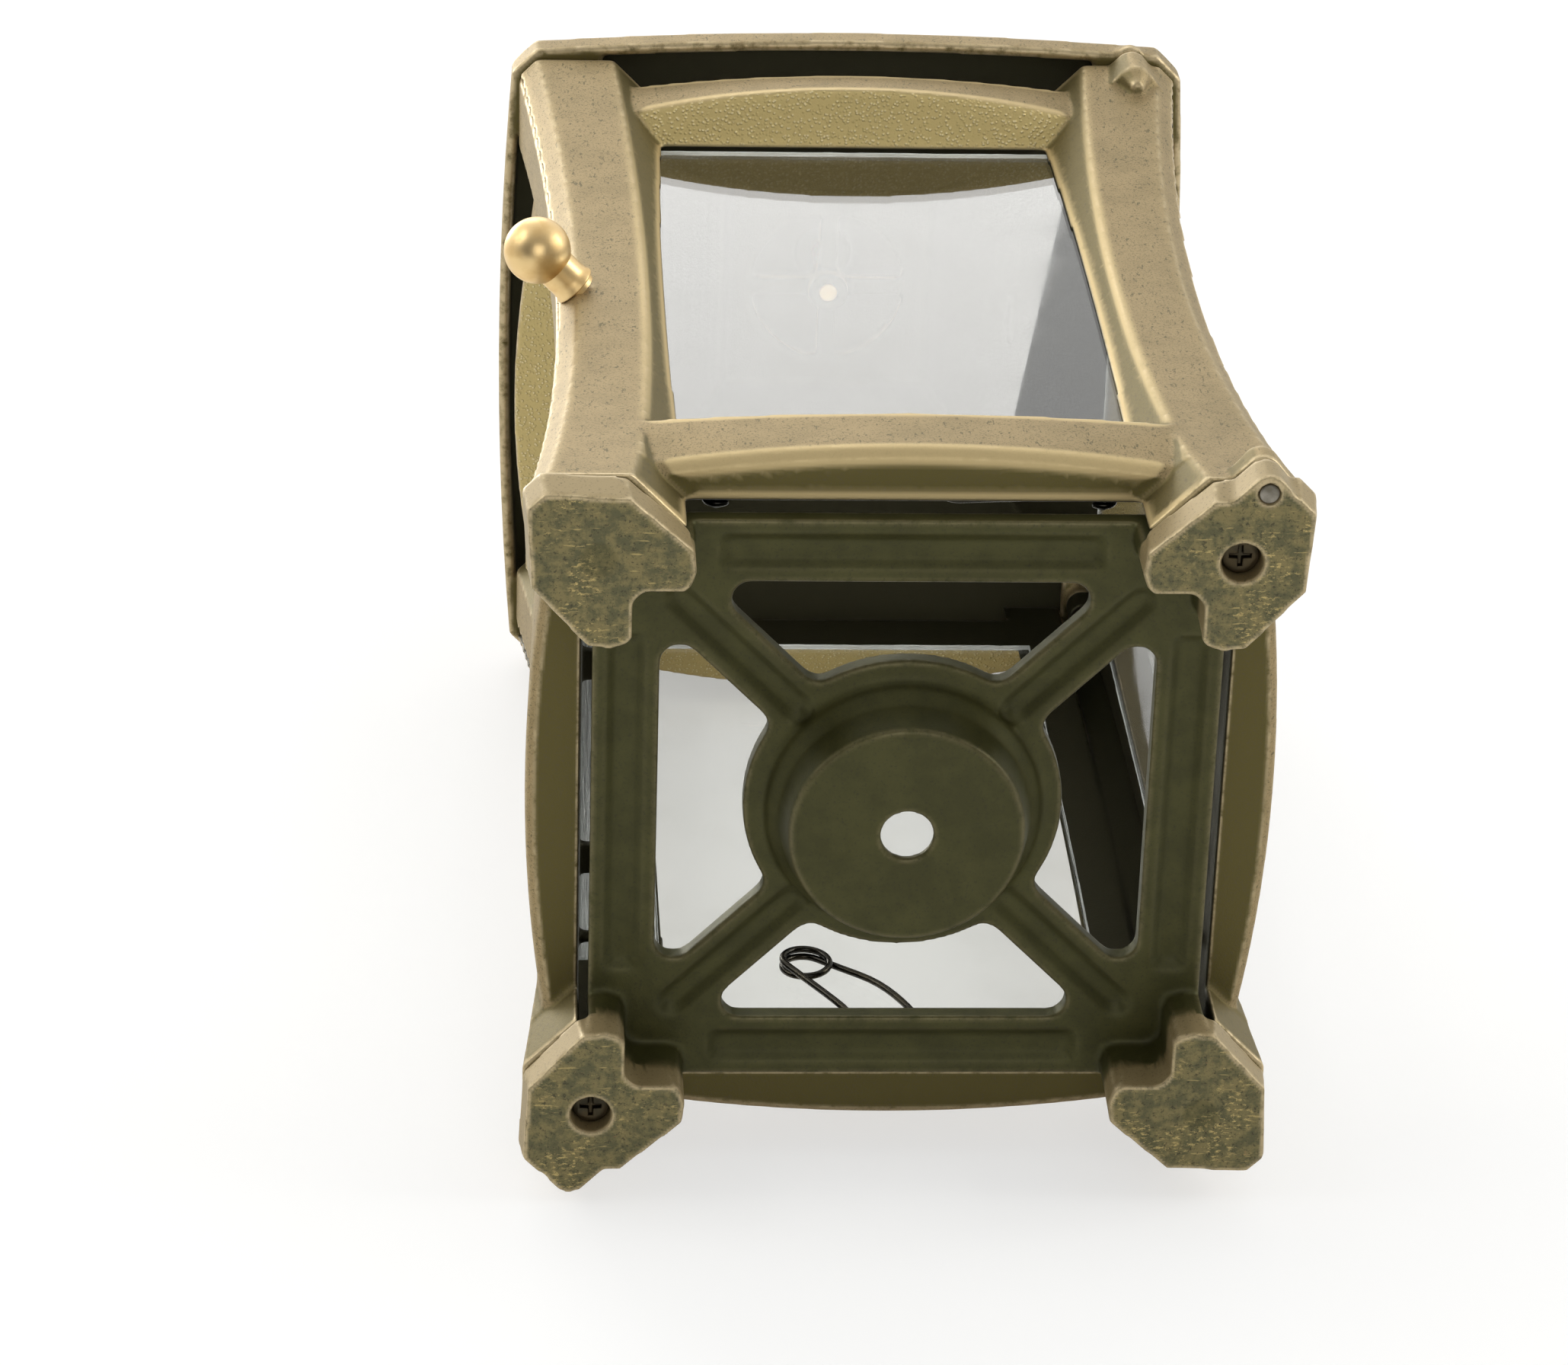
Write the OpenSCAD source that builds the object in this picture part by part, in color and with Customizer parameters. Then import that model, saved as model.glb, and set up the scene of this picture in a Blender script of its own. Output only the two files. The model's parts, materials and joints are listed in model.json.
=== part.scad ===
// Square candle lantern: hourglass corner posts, four glazed frames, a footed base with a
// tealight cup, and an overhanging roof with a vent cap and a bail.
// +Z is up, the door faces -Y, and the origin is at the bottom centre, between the feet.

/* [Body] */
// Distance from the middle to an outer face at the waist
waist_half = 62.5; // [56:0.5:70]
// Height of the waist above the feet
waist_z = 110; // [100:1:120]
// Radius of the long curve of each outer face
face_radius = 861; // [700:10:1500]
// Width taken off each corner by its chamfer, measured on a face
corner_cut = 3.8; // [2.5:0.1:5]
// Underside of the roof's rim
rim_z = 219.8; // [212:0.2:230]
// Depth of each frame's flat back, against which the glass sits, behind the face at the waist
seat_depth = 4.3; // [3.6:0.1:5.4]
// How much further out than in a post's inner slope starts: sets the width of the posts
post_slope = 17.1; // [14:0.1:20]
// Radius of the long curve of a post's inner slope
slope_radius = 3214; // [2500:10:5000]

/* [Rails] */
// Depth of the top rail's ridge below the roof's rim
top_ridge_drop = 19.8; // [16:0.1:24]
// How much further out than the waist the middle of the top rail's ridge is
top_ridge_out = 7.7; // [6:0.1:9.5]
// Gap between the top rail and the roof's rim
top_rail_drop = 6.8; // [5:0.1:10]
// How much further out than the waist the middle of the top rail's upper edge is
top_edge_out = 6.1; // [5:0.1:8.5]
// Height of the hammered facet between the window and the top rail's ridge
facet_h = 4; // [3:0.1:8]
// Bottom of the window in the plane of the glass
window_bottom = 39.4; // [36:0.2:44]
// Height of the bottom rail's lower edge
bottom_ridge_z = 20; // [18:0.5:24]
// How much further out than the waist the middle of the bottom rail's lower edge is
bottom_ridge_out = 5.9; // [4.5:0.1:7.5]
// Depth of the bottom rail's upper front edge below the window
bottom_edge_drop = 0.9; // [0.1:0.1:5]
// How much further out than the waist the middle of the bottom rail's upper front edge is
bottom_edge_out = 5; // [4:0.1:6.5]
// Rounding of the bottom rail's lower edge
rail_rounding = 1.6; // [0.8:0.1:2.4]

/* [Base] */
// How much further out than the waist a foot's outer face is at the floor
foot_out = 5.9; // [4:0.1:6.5]
// How much further out the foot's face is at its top
foot_flare = 0.9; // [0.2:0.1:1.4]
// Height of a foot, up to the seam with the frames
foot_h = 8; // [6:0.5:10]
// Depth of a foot, from its outer face to its inner side
foot_depth = 18.4; // [17:0.1:20]
// Gap between the base's frame and the backs of the four glazed frames
web_gap = 1.7; // [1.2:0.1:4]
// Width of the base's frame
web_w = 12; // [10.5:0.1:14]
// Height of the base's underside
web_z = 15.7; // [13:0.1:17]
// Thickness of the base's frame and arms
web_t = 4; // [3:0.1:5]
// Width of an arm
arm_w = 10.6; // [8:0.1:13]
// Rounding in the corners of the base's openings
opening_rounding = 3.6; // [2:0.1:5]
// Depth of the shallow troughs under the base
trough_depth = 1.6; // [0.4:0.1:2]
// Width of a trough in the base's frame
trough_w = 7.4; // [5:0.1:8]
// How far a trough ends short of the inner corners of the base's frame
trough_end = 9.9; // [6:0.1:20]
// Width of a trough in an arm
arm_trough_w = 6.4; // [5:0.1:7]

/* [Cup] */
// Radius of the tealight cup's bore
cup_r = 19.7; // [19.3:0.1:20.2]
// Width of the flange round the cup's bore
flange_w = 9.3; // [8:0.1:11]
// Height of the cup's bottom above the floor
cup_z = 3.8; // [2:0.1:6]
// Thickness of the cup's floor
cup_floor = 1.9; // [1.5:0.1:3]
// Thickness of the cup's wall at its foot
cup_wall = 1.6; // [1.3:0.1:2.2]
// Radius of the hole through the cup's floor
cup_hole_r = 4.75; // [3:0.05:6]
// Height of the cup's lip above the top of the base
cup_lip = 0.8; // [0.3:0.1:2]

/* [Hinge] */
// How far inside the waist's side face the hinge line is
hinge_in = 2.7; // [2.4:0.1:3.4]
// How far in front of the waist's front face the hinge line is
hinge_out = 6.7; // [6.4:0.1:7]
// Radius of a hinge pin
pin_r = 1.85; // [1.5:0.05:2.1]
// Radial clearance of the door's knuckles on the pins
knuckle_clearance = 0.05; // [0.02:0.01:0.09]
// Radius of a knuckle
knuckle_r = 3.4; // [3:0.1:3.8]
// Height of the bottom knuckle's straight part
low_knuckle_h = 5; // [4:0.5:7]
// Height of the top knuckle's straight part
top_knuckle_h = 10; // [8:0.5:12]
// Height of the boss on the roof that holds the upper pin
roof_knuckle_h = 4.6; // [4:0.1:6]
// Gap between the door and what is above, below and behind it
door_gap = 0.4; // [0.3:0.05:0.6]
// Gap round the door's edge on the hinge side, where it swings in
swing_gap = 1.2; // [0.4:0.1:1.5]

/* [Glass] */
// Gap at the waist between a pane's edge and the inner slope of a post
pane_gap = 0.5; // [0.2:0.1:1]
// Thickness of a pane
pane_t = 2.6; // [2:0.1:3]
// How far a pane reaches down behind the bottom rail
pane_lap = 5.9; // [4:0.1:7.5]
// Gap between a pane's top edge and the top of the window
pane_short = 1.5; // [0.5:0.1:2.5]
// Diameter of the clips' wire
wire_d = 1.5; // [1:0.1:1.8]
// Radius of a clip's coil, to the middle of its wire
coil_r = 4.6; // [3.5:0.1:5.5]
// How far inside a pane's edge a clip's peg stands
peg_in = 6.1; // [4:0.1:9]
// How far below a pane's bottom edge a clip's peg stands
peg_drop = 5; // [4.5:0.1:6.5]
// Radius of a peg
peg_r = 1.2; // [1:0.1:1.5]

/* [Knob and catch] */
// Height of the knob
knob_z = 109; // [100:1:118]
// Radius of the knob's ball
knob_r = 6.4; // [5.5:0.1:7.5]
// Distance of the ball's middle from the corner's ridge
knob_reach = 10.5; // [9.5:0.1:12]
// Radius of the knob's stem at the door
stem_r = 3.9; // [3:0.1:4.2]
// Height of the catch above the knob
catch_rise = 13; // [12:0.5:16]
// Radius of the catch magnet
magnet_r = 2.6; // [2:0.1:2.8]
// Thickness of the catch magnet
magnet_t = 2.4; // [1.5:0.1:2.8]

/* [Fastenings] */
// How far inside the waist's faces the corner screws stand, both ways
post_in = 6.5; // [6.5:0.1:7.5]
// Radius of the posts that the corner screws go into
post_r = 3.5; // [3:0.1:3.6]
// Radius of a corner screw's shank
screw_r = 1.6; // [1.4:0.05:1.8]
// Radius of the recess for a screw's head in a foot
recess_r = 3.65; // [3.4:0.05:3.9]
// Depth of the recess for a screw's head in a foot
recess_depth = 5.2; // [4.5:0.1:5.6]
// Height of the lower posts above the feet
low_post_h = 20; // [14:1:24]
// Height of the upper posts
top_post_h = 7; // [5:0.5:9]

/* [Roof] */
// How much further out than the waist the middle of the rim's side is
rim_out = 11; // [10.4:0.1:12.5]
// Radius of the rim's gentle bow
rim_bow_radius = 836; // [500:10:1200]
// Width taken off each corner of the rim
rim_corner_cut = 10.2; // [8:0.2:13]
// Height of the rim's upright band
rim_h = 6.8; // [5:0.1:9]
// Thickness of the roof's wall
roof_wall = 2.3; // [2:0.1:3]
// Radius of the hollow curve of the roof's slopes
slope_hollow_radius = 86.6; // [80:0.2:110]
// Height of the flat deck above the rim's underside
deck_rise = 42.2; // [38:0.1:46]
// Run of the roof's slopes, from the middle of the rim's side to the edge of the deck
roof_run = 49.5; // [47.5:0.5:51]
// Width of the deck round the chimney hole
deck_w = 7; // [6:0.5:9]
// Gap between the deck and the vent cap's eave
vent_gap = 6; // [4:0.5:9]
// How far the vent cap's eave reaches past the edge of the deck
cap_over = 3; // [1:0.5:6]
// Height of the vent cap from its eave to its neck
cap_h = 15; // [12:0.5:18]
// Radius of the finial's ball
finial_r = 5; // [4:0.1:6]

/* [Bail] */
// How far inside the middle of the rim's side the bail's pivots stand
pivot_in = 29.5; // [27.5:0.5:31.5]
// Depth of the bail's pivots below the deck
pivot_drop = 10; // [8:0.5:11]
// How far inside the middle of the rim's side the middle of the bail's half-round rests
bail_in = 5.5; // [2:0.5:8]
// Radius of the bail's rod
bail_r = 2; // [1.5:0.1:2.1]
// Angle below level at which the bail rests on the roof
bail_droop = 8.5; // [6:0.5:8.5]

/* [Hidden] */

bronze = [0.47, 0.37, 0.24];
dark_bronze = [0.26, 0.22, 0.16];
gold = [0.66, 0.53, 0.3];
glass_tint = [0.78, 0.84, 0.88, 0.35];
wire_black = [0.12, 0.11, 0.1];
steel = [0.6, 0.6, 0.6];

big = 400;            // longer than the lantern, for cuts that run right through
long_fn = 360;        // facets of the long face curves
slope_steps = 16;     // strips of a post's inner slope
round_fn = 64;        // facets of bosses and bores
sliver = 0.01;        // thickness of the sheets that a hull joins
sink = 0.6;           // how far a boss is sunk in what carries it
diagonal = sqrt(2);

seat_half = waist_half - seat_depth; // distance from the middle to the backs of the frames
top_ridge_z = rim_z - top_ridge_drop;
top_ridge_reach = waist_half + top_ridge_out;
top_rail_z = rim_z - top_rail_drop;
top_edge_reach = waist_half + top_edge_out;
window_top = top_ridge_z - facet_h;
bottom_edge_z = window_bottom - bottom_edge_drop;
bottom_ridge_reach = waist_half + bottom_ridge_out;
bottom_edge_reach = waist_half + bottom_edge_out;
foot_half = waist_half + foot_out;
foot_inner = foot_half - foot_depth;
web_half = seat_half - web_gap;
web_open_half = web_half - web_w;
flange_r = cup_r + flange_w;
cup_disc_r = cup_r + cup_wall;
hinge_x = waist_half - hinge_in;
hinge_y = waist_half + hinge_out;
pane_half = seat_half - post_slope - pane_gap;
pane_bottom = window_bottom - pane_lap;
pane_top = window_top - pane_short;
peg_x = pane_half - peg_in;
peg_z = pane_bottom - peg_drop;
post_at = waist_half - post_in;
rim_half = waist_half + rim_out;
deck_z = rim_z + deck_rise;
deck_half = rim_half - roof_run;
chimney_r = deck_half - deck_w;
cap_r = deck_half + cap_over;
pivot_x = rim_half - pivot_in;
pivot_z = deck_z - pivot_drop;
bail_arm = rim_half - bail_in - pivot_x;
lap_cut = corner_cut + 0.2; // how far behind an outer face the door's and back frame's laps end
door_bottom = foot_h + door_gap;
door_top = rim_z - door_gap;
web_top = web_z + web_t;
thick_half = waist_half - 11;    // half width of the thick part of the door's and back frame's castings
pane_back = seat_half - pane_t;
wire_at = pane_back - wire_d / 2;
pin_bore_r = pin_r + knuckle_clearance;
lower_pin_top = door_bottom + low_knuckle_h + 1.2;
upper_pin_bottom = door_top - top_knuckle_h - 2;
knuckle_taper = 4.5;  // height of a knuckle's tapered end
knob_screw_r = 1.3;
knob_boss_r = 2.8;
knob_boss_l = 6.4;    // depth of the knob's seat behind the corner's ridge
leg_slope = 18.4;     // as post_slope, for the legs under the bottom rail
rail_span = waist_half - 16.5;   // half length of a rail between the posts' inner slopes
rail_end = rail_span + 4;   // half length of a rail, with what is sunk in the posts
knob_screw_grip = 5;
knob_sink = 0.9;      // how far the knob's foot sits down over the corner's ridge
swing_steps = 12;
top_post_z = rim_z - 3.6;
screw_hole_r = screw_r + 0.4;
foot_screw_top = foot_h + 14;
roof_screw_grip = 8;
coil_x = 14;          // place of a clip's coil, across its frame and up
coil_z = pane_bottom + 18.5;
back_screw_r = 1.3;
back_screw_grip = 2.4;
strike_t = 1;
mark_r = 3.9;
mark_depth = 0.25;
dowel_bottom = 2.6;
roof_pin_top = rim_z + roof_knuckle_h - 0.6;
trough_slope = 2.1;   // width of a trough's sloping walls
arm_trough_in = flange_r - 1; // ends of an arm's trough, from the middle
arm_trough_out = web_half + 1.5;
trough_l = 2 * (web_open_half - trough_end);
roof_boss_r = knuckle_r + 0.3;
roof_post_r = 3.1;
ear_t = 3;
ear_r = 5;
eye_t = 3.2;
ear_x = pivot_x - eye_t / 2 - door_gap - ear_t;
eye_r = 4;
rivet_r = 1.6;
rivet_head_r = 2.9;
rivet_l = ear_t + eye_t + 2 * door_gap;
stud_r = 2;
stud_boss_r = 4.5;
stud_boss_h = 6;
spider_w = 4;
cap_leg_r = 2;
cap_leg_at = deck_half - 9;
cap_t = 1.8;
cap_neck_r = 6.5;
cap_sweep = 1.7;      // how strongly the cap's slope hollows
cap_steps = 14;
ledge_x = 20;
ledge_w = 6;
ledge_t = 2;
catch_z = knob_z + catch_rise;
back_screw_z = 48;
lug_at = waist_half - 8; // distance of the catch's lug from the middle, across the door
lug_w = 7.4;
lug_t = 3.5;
lug_h = 9;
lug_face = seat_half - 0.3;
roof_seat = waist_half - 10.5; // inner edge of the roof's corner seats
seat_t = 3;
rim_top = rim_z + rim_h;

// Distance of an outer face from the middle at height z
function face_at(z) = waist_half + face_radius - sqrt(pow(face_radius, 2) - pow(z - waist_z, 2));
// Distance of a chamfer's outer edge from the hinge line at height z
function swing_radius(z) = norm([face_at(z) - hinge_x, hinge_y - face_at(z) + corner_cut]);
// Point at the given distance and angle from the middle
function polar(r, a) = [r * cos(a), r * sin(a)];

// The space between two waisted faces, half_waist from the middle at the waist
module waisted(half_waist, radius) {
    difference() {
        translate([-big / 2, -big / 2, -10])
            cube([big, big, rim_z + 30]);
        for (side = [-1, 1])
            translate([0, side * (half_waist + radius), waist_z])
                rotate([0, 90, 0])
                    cylinder(r = radius, h = 2 * big, center = true, $fn = long_fn);
    }
}

// The whole body's outer form, with its four faces and four corner chamfers
module tower() {
    intersection() {
        waisted(waist_half, face_radius);
        rotate([0, 0, 90])
            waisted(waist_half, face_radius);
        intersection_for(turn = [45, 135])
            rotate([0, 0, turn])
                waisted((2 * waist_half - corner_cut) / diagonal, face_radius / diagonal);
    }
}

// Distance of a post's inner slope from the diagonal through the middle, at height z
function slope_at(z) =
    -post_slope / diagonal - slope_radius + sqrt(pow(slope_radius, 2) - pow(z - waist_z, 2));

// Everything between the inner slopes of the front's two posts
module between_posts() {
    low = bottom_ridge_z;
    high = rim_z + 10;
    intersection() {
        intersection_for(side = [0, 1])
            mirror([side, 0, 0])
                rotate([0, 0, 45])
                    rotate([90, 0, 0])
                        linear_extrude(height = big, center = true)
                            polygon(concat(
                                [[-big, low]],
                                [for (i = [0:slope_steps]) let (z = low + (high - low) * i / slope_steps)
                                    [slope_at(z), z]],
                                [[-big, high]]
                            ));
        translate([-big / 2, -big / 2, low])
            cube([big, (big - seat_half) / 2, high - low]);
    }
}

// The gap between the two legs, under the bottom rail
module between_legs() {
    translate([0, 0, -1])
        linear_extrude(height = bottom_ridge_z + 2)
            polygon([for (p = [[-1, foot_inner], [1, foot_inner], [1, big / 2], [-1, big / 2]])
                [p[0] * (p[1] - leg_slope), -p[1]]]);
}

// A sheet whose front edge bows out to reach in the middle and drops back by drop at rail_span
module bowed_sheet(reach, drop) {
    bow = (pow(rail_span, 2) + pow(drop, 2)) / (2 * drop);
    linear_extrude(height = sliver)
        intersection() {
            translate([0, bow - reach])
                circle(r = bow, $fn = 360);
            translate([-rail_end, -big / 2])
                square([2 * rail_end, big / 2 - seat_half]);
        }
}

module top_rail() {
    hull() {
        translate([0, 0, top_ridge_z])
            bowed_sheet(top_ridge_reach, 5.5);
        translate([0, 0, top_rail_z - sliver])
            bowed_sheet(top_edge_reach, 3.1);
        translate([-rail_end, -seat_half - sliver, window_top])
            cube([2 * rail_end, sliver, top_rail_z - window_top]);
    }
}

module bottom_rail() {
    hull() {
        translate([0, 0, bottom_ridge_z])
            bowed_sheet(bottom_ridge_reach - rail_rounding, 3.7);
        translate([0, 0, bottom_ridge_z + rail_rounding])
            bowed_sheet(bottom_ridge_reach, 3.7);
        translate([0, 0, bottom_edge_z - sliver])
            bowed_sheet(bottom_edge_reach, 1.7);
        translate([-rail_end, -seat_half - sliver, bottom_ridge_z])
            cube([2 * rail_end, sliver, window_bottom - bottom_ridge_z]);
    }
}

// The pegs for the clip and the ledges for the pane, on the back of the bottom rail
module pane_fittings() {
    for (side = [-1, 1]) {
        translate([side * peg_x, -seat_half - sink, peg_z])
            rotate([-90, 0, 0])
                cylinder(r = peg_r, h = sink + pane_t + wire_d + 1, $fn = round_fn);
        translate([side * ledge_x - ledge_w / 2, -seat_half - sink, pane_bottom - ledge_t])
            cube([ledge_w, sink + pane_t, ledge_t]);
    }
}

// Plan of a knuckle or of the boss that meets it: a round that runs into the corner chamfer
module knuckle_plan() {
    translate([hinge_x, -hinge_y])
        circle(r = knuckle_r, $fn = round_fn);
    polygon([
        [hinge_x - 6.8, -hinge_y + 2.2],
        [hinge_x, -hinge_y] + polar(knuckle_r, 228),
        [hinge_x, -hinge_y] + polar(knuckle_r, 315),
        [hinge_x + 8.2, -hinge_y + 4.6],
        [hinge_x, -hinge_y + 8]
    ]);
}

// Front or back casting before its own holes: two posts, two rails, the knuckles and, at pad_z,
// the pad that meets a side casting's lug
module front_casting(bottom, top, pad_z) {
    difference() {
        intersection() {
            tower();
            union() {
                translate([-thick_half, -big / 2, bottom])
                    cube([2 * thick_half, big / 2 - seat_half, top - bottom]);
                difference() {
                    translate([-big / 2, -big / 2, bottom])
                        cube([big, big / 2, top - bottom]);
                    waisted(waist_half - lap_cut, face_radius);
                }
                translate([-seat_half, -big / 2, pad_z - lug_h / 2])
                    cube([lug_w, big / 2 - seat_half, lug_h]);
            }
        }
        between_posts();
        between_legs();
    }
    top_rail();
    bottom_rail();
    pane_fittings();
    translate([0, 0, bottom])
        linear_extrude(height = low_knuckle_h)
            knuckle_plan();
    translate([hinge_x, -hinge_y, bottom + low_knuckle_h])
        cylinder(r1 = knuckle_r, r2 = knuckle_r - 2.2, h = knuckle_taper, $fn = round_fn);
    translate([0, 0, top - top_knuckle_h])
        linear_extrude(height = top_knuckle_h)
            knuckle_plan();
    translate([hinge_x, -hinge_y, top - top_knuckle_h - knuckle_taper])
        cylinder(r1 = knuckle_r - 2.2, r2 = knuckle_r, h = knuckle_taper, $fn = round_fn);
}

// The blind bores for the pins, from the bottom and the top of a front or back casting
module pin_bores(bottom, top, r) {
    translate([hinge_x, -hinge_y, bottom - 1])
        cylinder(r = r, h = lower_pin_top + 0.6 - bottom + 1, $fn = round_fn);
    translate([hinge_x, -hinge_y, upper_pin_bottom - 0.6])
        cylinder(r = r, h = top + 1.6 - upper_pin_bottom, $fn = round_fn);
}

// Side casting as seen from its own front: two posts, two rails, screw posts and a lug at lug_z.
// Its left end is hollowed round the hinge line, for the door's edge to swing through.
module side_casting(lug_z, lug_bore_r, lug_bore_depth) {
    difference() {
        union() {
            difference() {
                intersection() {
                    tower();
                    rotate([0, 0, 90])
                        waisted(waist_half - lap_cut - door_gap, face_radius);
                    translate([-big / 2, -big / 2, foot_h])
                        cube([big, big / 2 - seat_half, rim_z - foot_h]);
                }
                between_posts();
                between_legs();
            }
            top_rail();
            bottom_rail();
            pane_fittings();
            for (side = [-1, 1])
                translate([side * post_at, -post_at, 0]) {
                    translate([0, 0, foot_h])
                        cylinder(r = post_r, h = low_post_h, $fn = round_fn);
                    translate([0, 0, top_post_z - top_post_h])
                        cylinder(r = post_r, h = top_post_h, $fn = round_fn);
                }
            translate([lug_face - lug_t, -seat_half - sink, lug_z - lug_h / 2])
                cube([lug_t, sink + lug_w, lug_h]);
        }
        translate([-hinge_y, -hinge_x, 0])
            rotate_extrude($fn = 120)
                polygon(concat(
                    [[0, foot_h - 1]],
                    [for (i = [0:swing_steps]) let (z = foot_h - 1 + i * (rim_z + 2 - foot_h) / swing_steps)
                        [swing_radius(z) + swing_gap, z]],
                    [[0, rim_z + 1]]
                ));
        for (side = [-1, 1])
            translate([side * post_at, -post_at, 0]) {
                translate([0, 0, foot_h - 1])
                    cylinder(r = screw_r, h = foot_screw_top + 2 - foot_h, $fn = round_fn);
                translate([0, 0, top_post_z - top_post_h - 1])
                    cylinder(r = screw_hole_r, h = top_post_h + 2, $fn = round_fn);
                translate([0, 0, top_post_z - top_post_h - 5])
                    cylinder(r = post_r, h = 5, $fn = round_fn);
                translate([0, 0, top_post_z])
                    cylinder(r = post_r, h = 10, $fn = round_fn);
            }
        translate([lug_face - lug_bore_depth, -lug_at, lug_z])
            rotate([0, 90, 0])
                cylinder(r = lug_bore_r, h = lug_bore_depth + 1, $fn = round_fn);
    }
}

module pane() {
    color(glass_tint)
        translate([-pane_half, -seat_half, pane_bottom])
            cube([2 * pane_half, pane_t, pane_top - pane_bottom]);
}

// Points of a turn of wire round (x, z) from one angle to another, moving inwards by depth
function turn(x, z, r, from, to, steps, y0, depth) =
    [for (i = [0:steps]) let (a = from + (to - from) * i / steps)
        [x + r * cos(a), y0 + depth * i / steps, z + r * sin(a)]];
// One pass of cutting the corners off a line of points, keeping its two ends
function cut_corners(p) = concat(
    [p[0]],
    [for (i = [0:len(p) - 2]) each [p[i] * 0.75 + p[i + 1] * 0.25, p[i] * 0.25 + p[i + 1] * 0.75]],
    [p[len(p) - 1]]
);
function unit(v) = v / norm(v);

// A wire through the points, which lie near an upright plane facing the front
module wire(points, r) {
    sides = 8;
    last = len(points) - 1;
    rings = [for (i = [0:last])
        let (
            along = unit(points[min(i + 1, last)] - points[max(i - 1, 0)]),
            across = unit([0, 1, 0] - along * along[1]),
            up = cross(along, across)
        )
        each [for (k = [0:sides - 1])
            points[i] + r * (across * cos(360 * k / sides) + up * sin(360 * k / sides))]];
    walls = [for (i = [0:last - 1], k = [0:sides - 1])
        let (n = (k + 1) % sides)
        [i * sides + n, i * sides + k, (i + 1) * sides + k, (i + 1) * sides + n]];
    polyhedron(rings, concat(
        walls,
        [[for (k = [0:sides - 1]) k]],
        [[for (k = [sides - 1:-1:0]) last * sides + k]]
    ));
}

// Spring clip: a hook round each peg and a coil that presses on the pane
module clip() {
    loop_r = peg_r + wire_d / 2 + 0.15;
    run_z = peg_z + loop_r;
    y0 = -wire_at;
    coil_pitch = wire_d * 1.1;
    coil_turn = 480;
    coil_depth = coil_pitch * coil_turn / 360;
    left_leg = [
        [-peg_x + 1, y0, run_z], [-9, y0, run_z], [-6.4, y0, run_z + 1], [-5.2, y0, coil_z - 15.3],
        [0.2, y0, coil_z - 5.3], [7.3, y0, coil_z], [coil_x - 1.5, y0, coil_z + coil_r - 0.4]
    ];
    right_leg = [
        [coil_x + coil_r * cos(30) - 0.6, y0 + coil_depth, coil_z - coil_r / 2 - 1],
        [8.9, y0 + coil_depth * 0.7, coil_z - 15.4], [6.4, y0 + coil_depth * 0.5, run_z + 2],
        [8, y0 + coil_depth * 0.4, run_z], [12, y0 + coil_depth * 0.3, run_z], [peg_x - 1, y0, run_z]
    ];
    color(wire_black)
        wire(concat(
            turn(-peg_x, peg_z, loop_r, 330, 90, 8, y0, 0),
            cut_corners(left_leg),
            turn(coil_x, coil_z, coil_r, 90, 90 - coil_turn, 24, y0, coil_depth),
            cut_corners(right_leg),
            turn(peg_x, peg_z, loop_r, 90, -150, 8, y0, 0)
        ), wire_d / 2);
}

module base_frame() {
    color(dark_bronze)
        difference() {
            union() {
                for (sx = [0, 1], sy = [0, 1])
                    mirror([sx, 0, 0])
                        mirror([0, sy, 0]) {
                            hull() {
                                linear_extrude(height = sliver)
                                    foot_plan(foot_half);
                                translate([0, 0, foot_h - sliver])
                                    linear_extrude(height = sliver)
                                        foot_plan(foot_half + foot_flare);
                            }
                            linear_extrude(height = web_z + sink)
                                difference() {
                                    intersection() {
                                        foot_plan(foot_half);
                                        square(web_half);
                                    }
                                    rounded_square(foot_inner, 3.4);
                                }
                        }
                for (turn = [0, 180])
                    rotate([0, 0, turn])
                        linear_extrude(height = foot_h)
                            knuckle_plan();
                web();
                cup();
            }
            translate([0, 0, -1])
                linear_extrude(height = web_z + 1)
                    difference() {
                        rounded_square(foot_inner, 3.4);
                        circle(r = flange_r + 1, $fn = round_fn);
                    }
            for (sx = [-1, 1], sy = [-1, 1])
                translate([sx * post_at, sy * post_at, foot_h])
                    cylinder(r = post_r + door_gap, h = big, $fn = round_fn);
            for (s = [-1, 1]) {
                translate([s * post_at, -s * post_at, -1]) {
                    cylinder(r = recess_r, h = recess_depth + 1, $fn = round_fn);
                    cylinder(r = screw_hole_r, h = foot_h + 2, $fn = round_fn);
                }
                translate([s * post_at, s * post_at, -1])
                    cylinder(r = mark_r, h = 1 + mark_depth, $fn = round_fn);
                translate([s * 13, 1, cup_z - 1])
                    cylinder(r = 3.4, h = 1 + mark_depth, $fn = round_fn);
            }
            translate([hinge_x, -hinge_y, -1])
                cylinder(r = pin_r, h = foot_h + 2, $fn = round_fn);
            translate([-hinge_x, hinge_y, dowel_bottom])
                cylinder(r = pin_r, h = foot_h, $fn = round_fn);
            troughs();
        }
}

// Plan of a foot in one corner, with its outer face at f
module foot_plan(f) {
    half_plan = [
        [f - 3.2, f], [f - 18, f - 0.9], [f - 29.2, f - 10.8],
        [f - 29.5, f - 15], [f - 28.6, f - 17.6], [f - 26.6, f - foot_depth]
    ];
    polygon(concat(
        half_plan,
        [for (i = [len(half_plan) - 1:-1:0]) [half_plan[i][1], half_plan[i][0]]]
    ));
}

module rounded_square(half, r) {
    square([2 * half, 2 * (half - r)], center = true);
    square([2 * (half - r), 2 * half], center = true);
    for (sx = [-1, 1], sy = [-1, 1])
        translate([sx * (half - r), sy * (half - r)])
            circle(r = r, $fn = round_fn);
}

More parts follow.
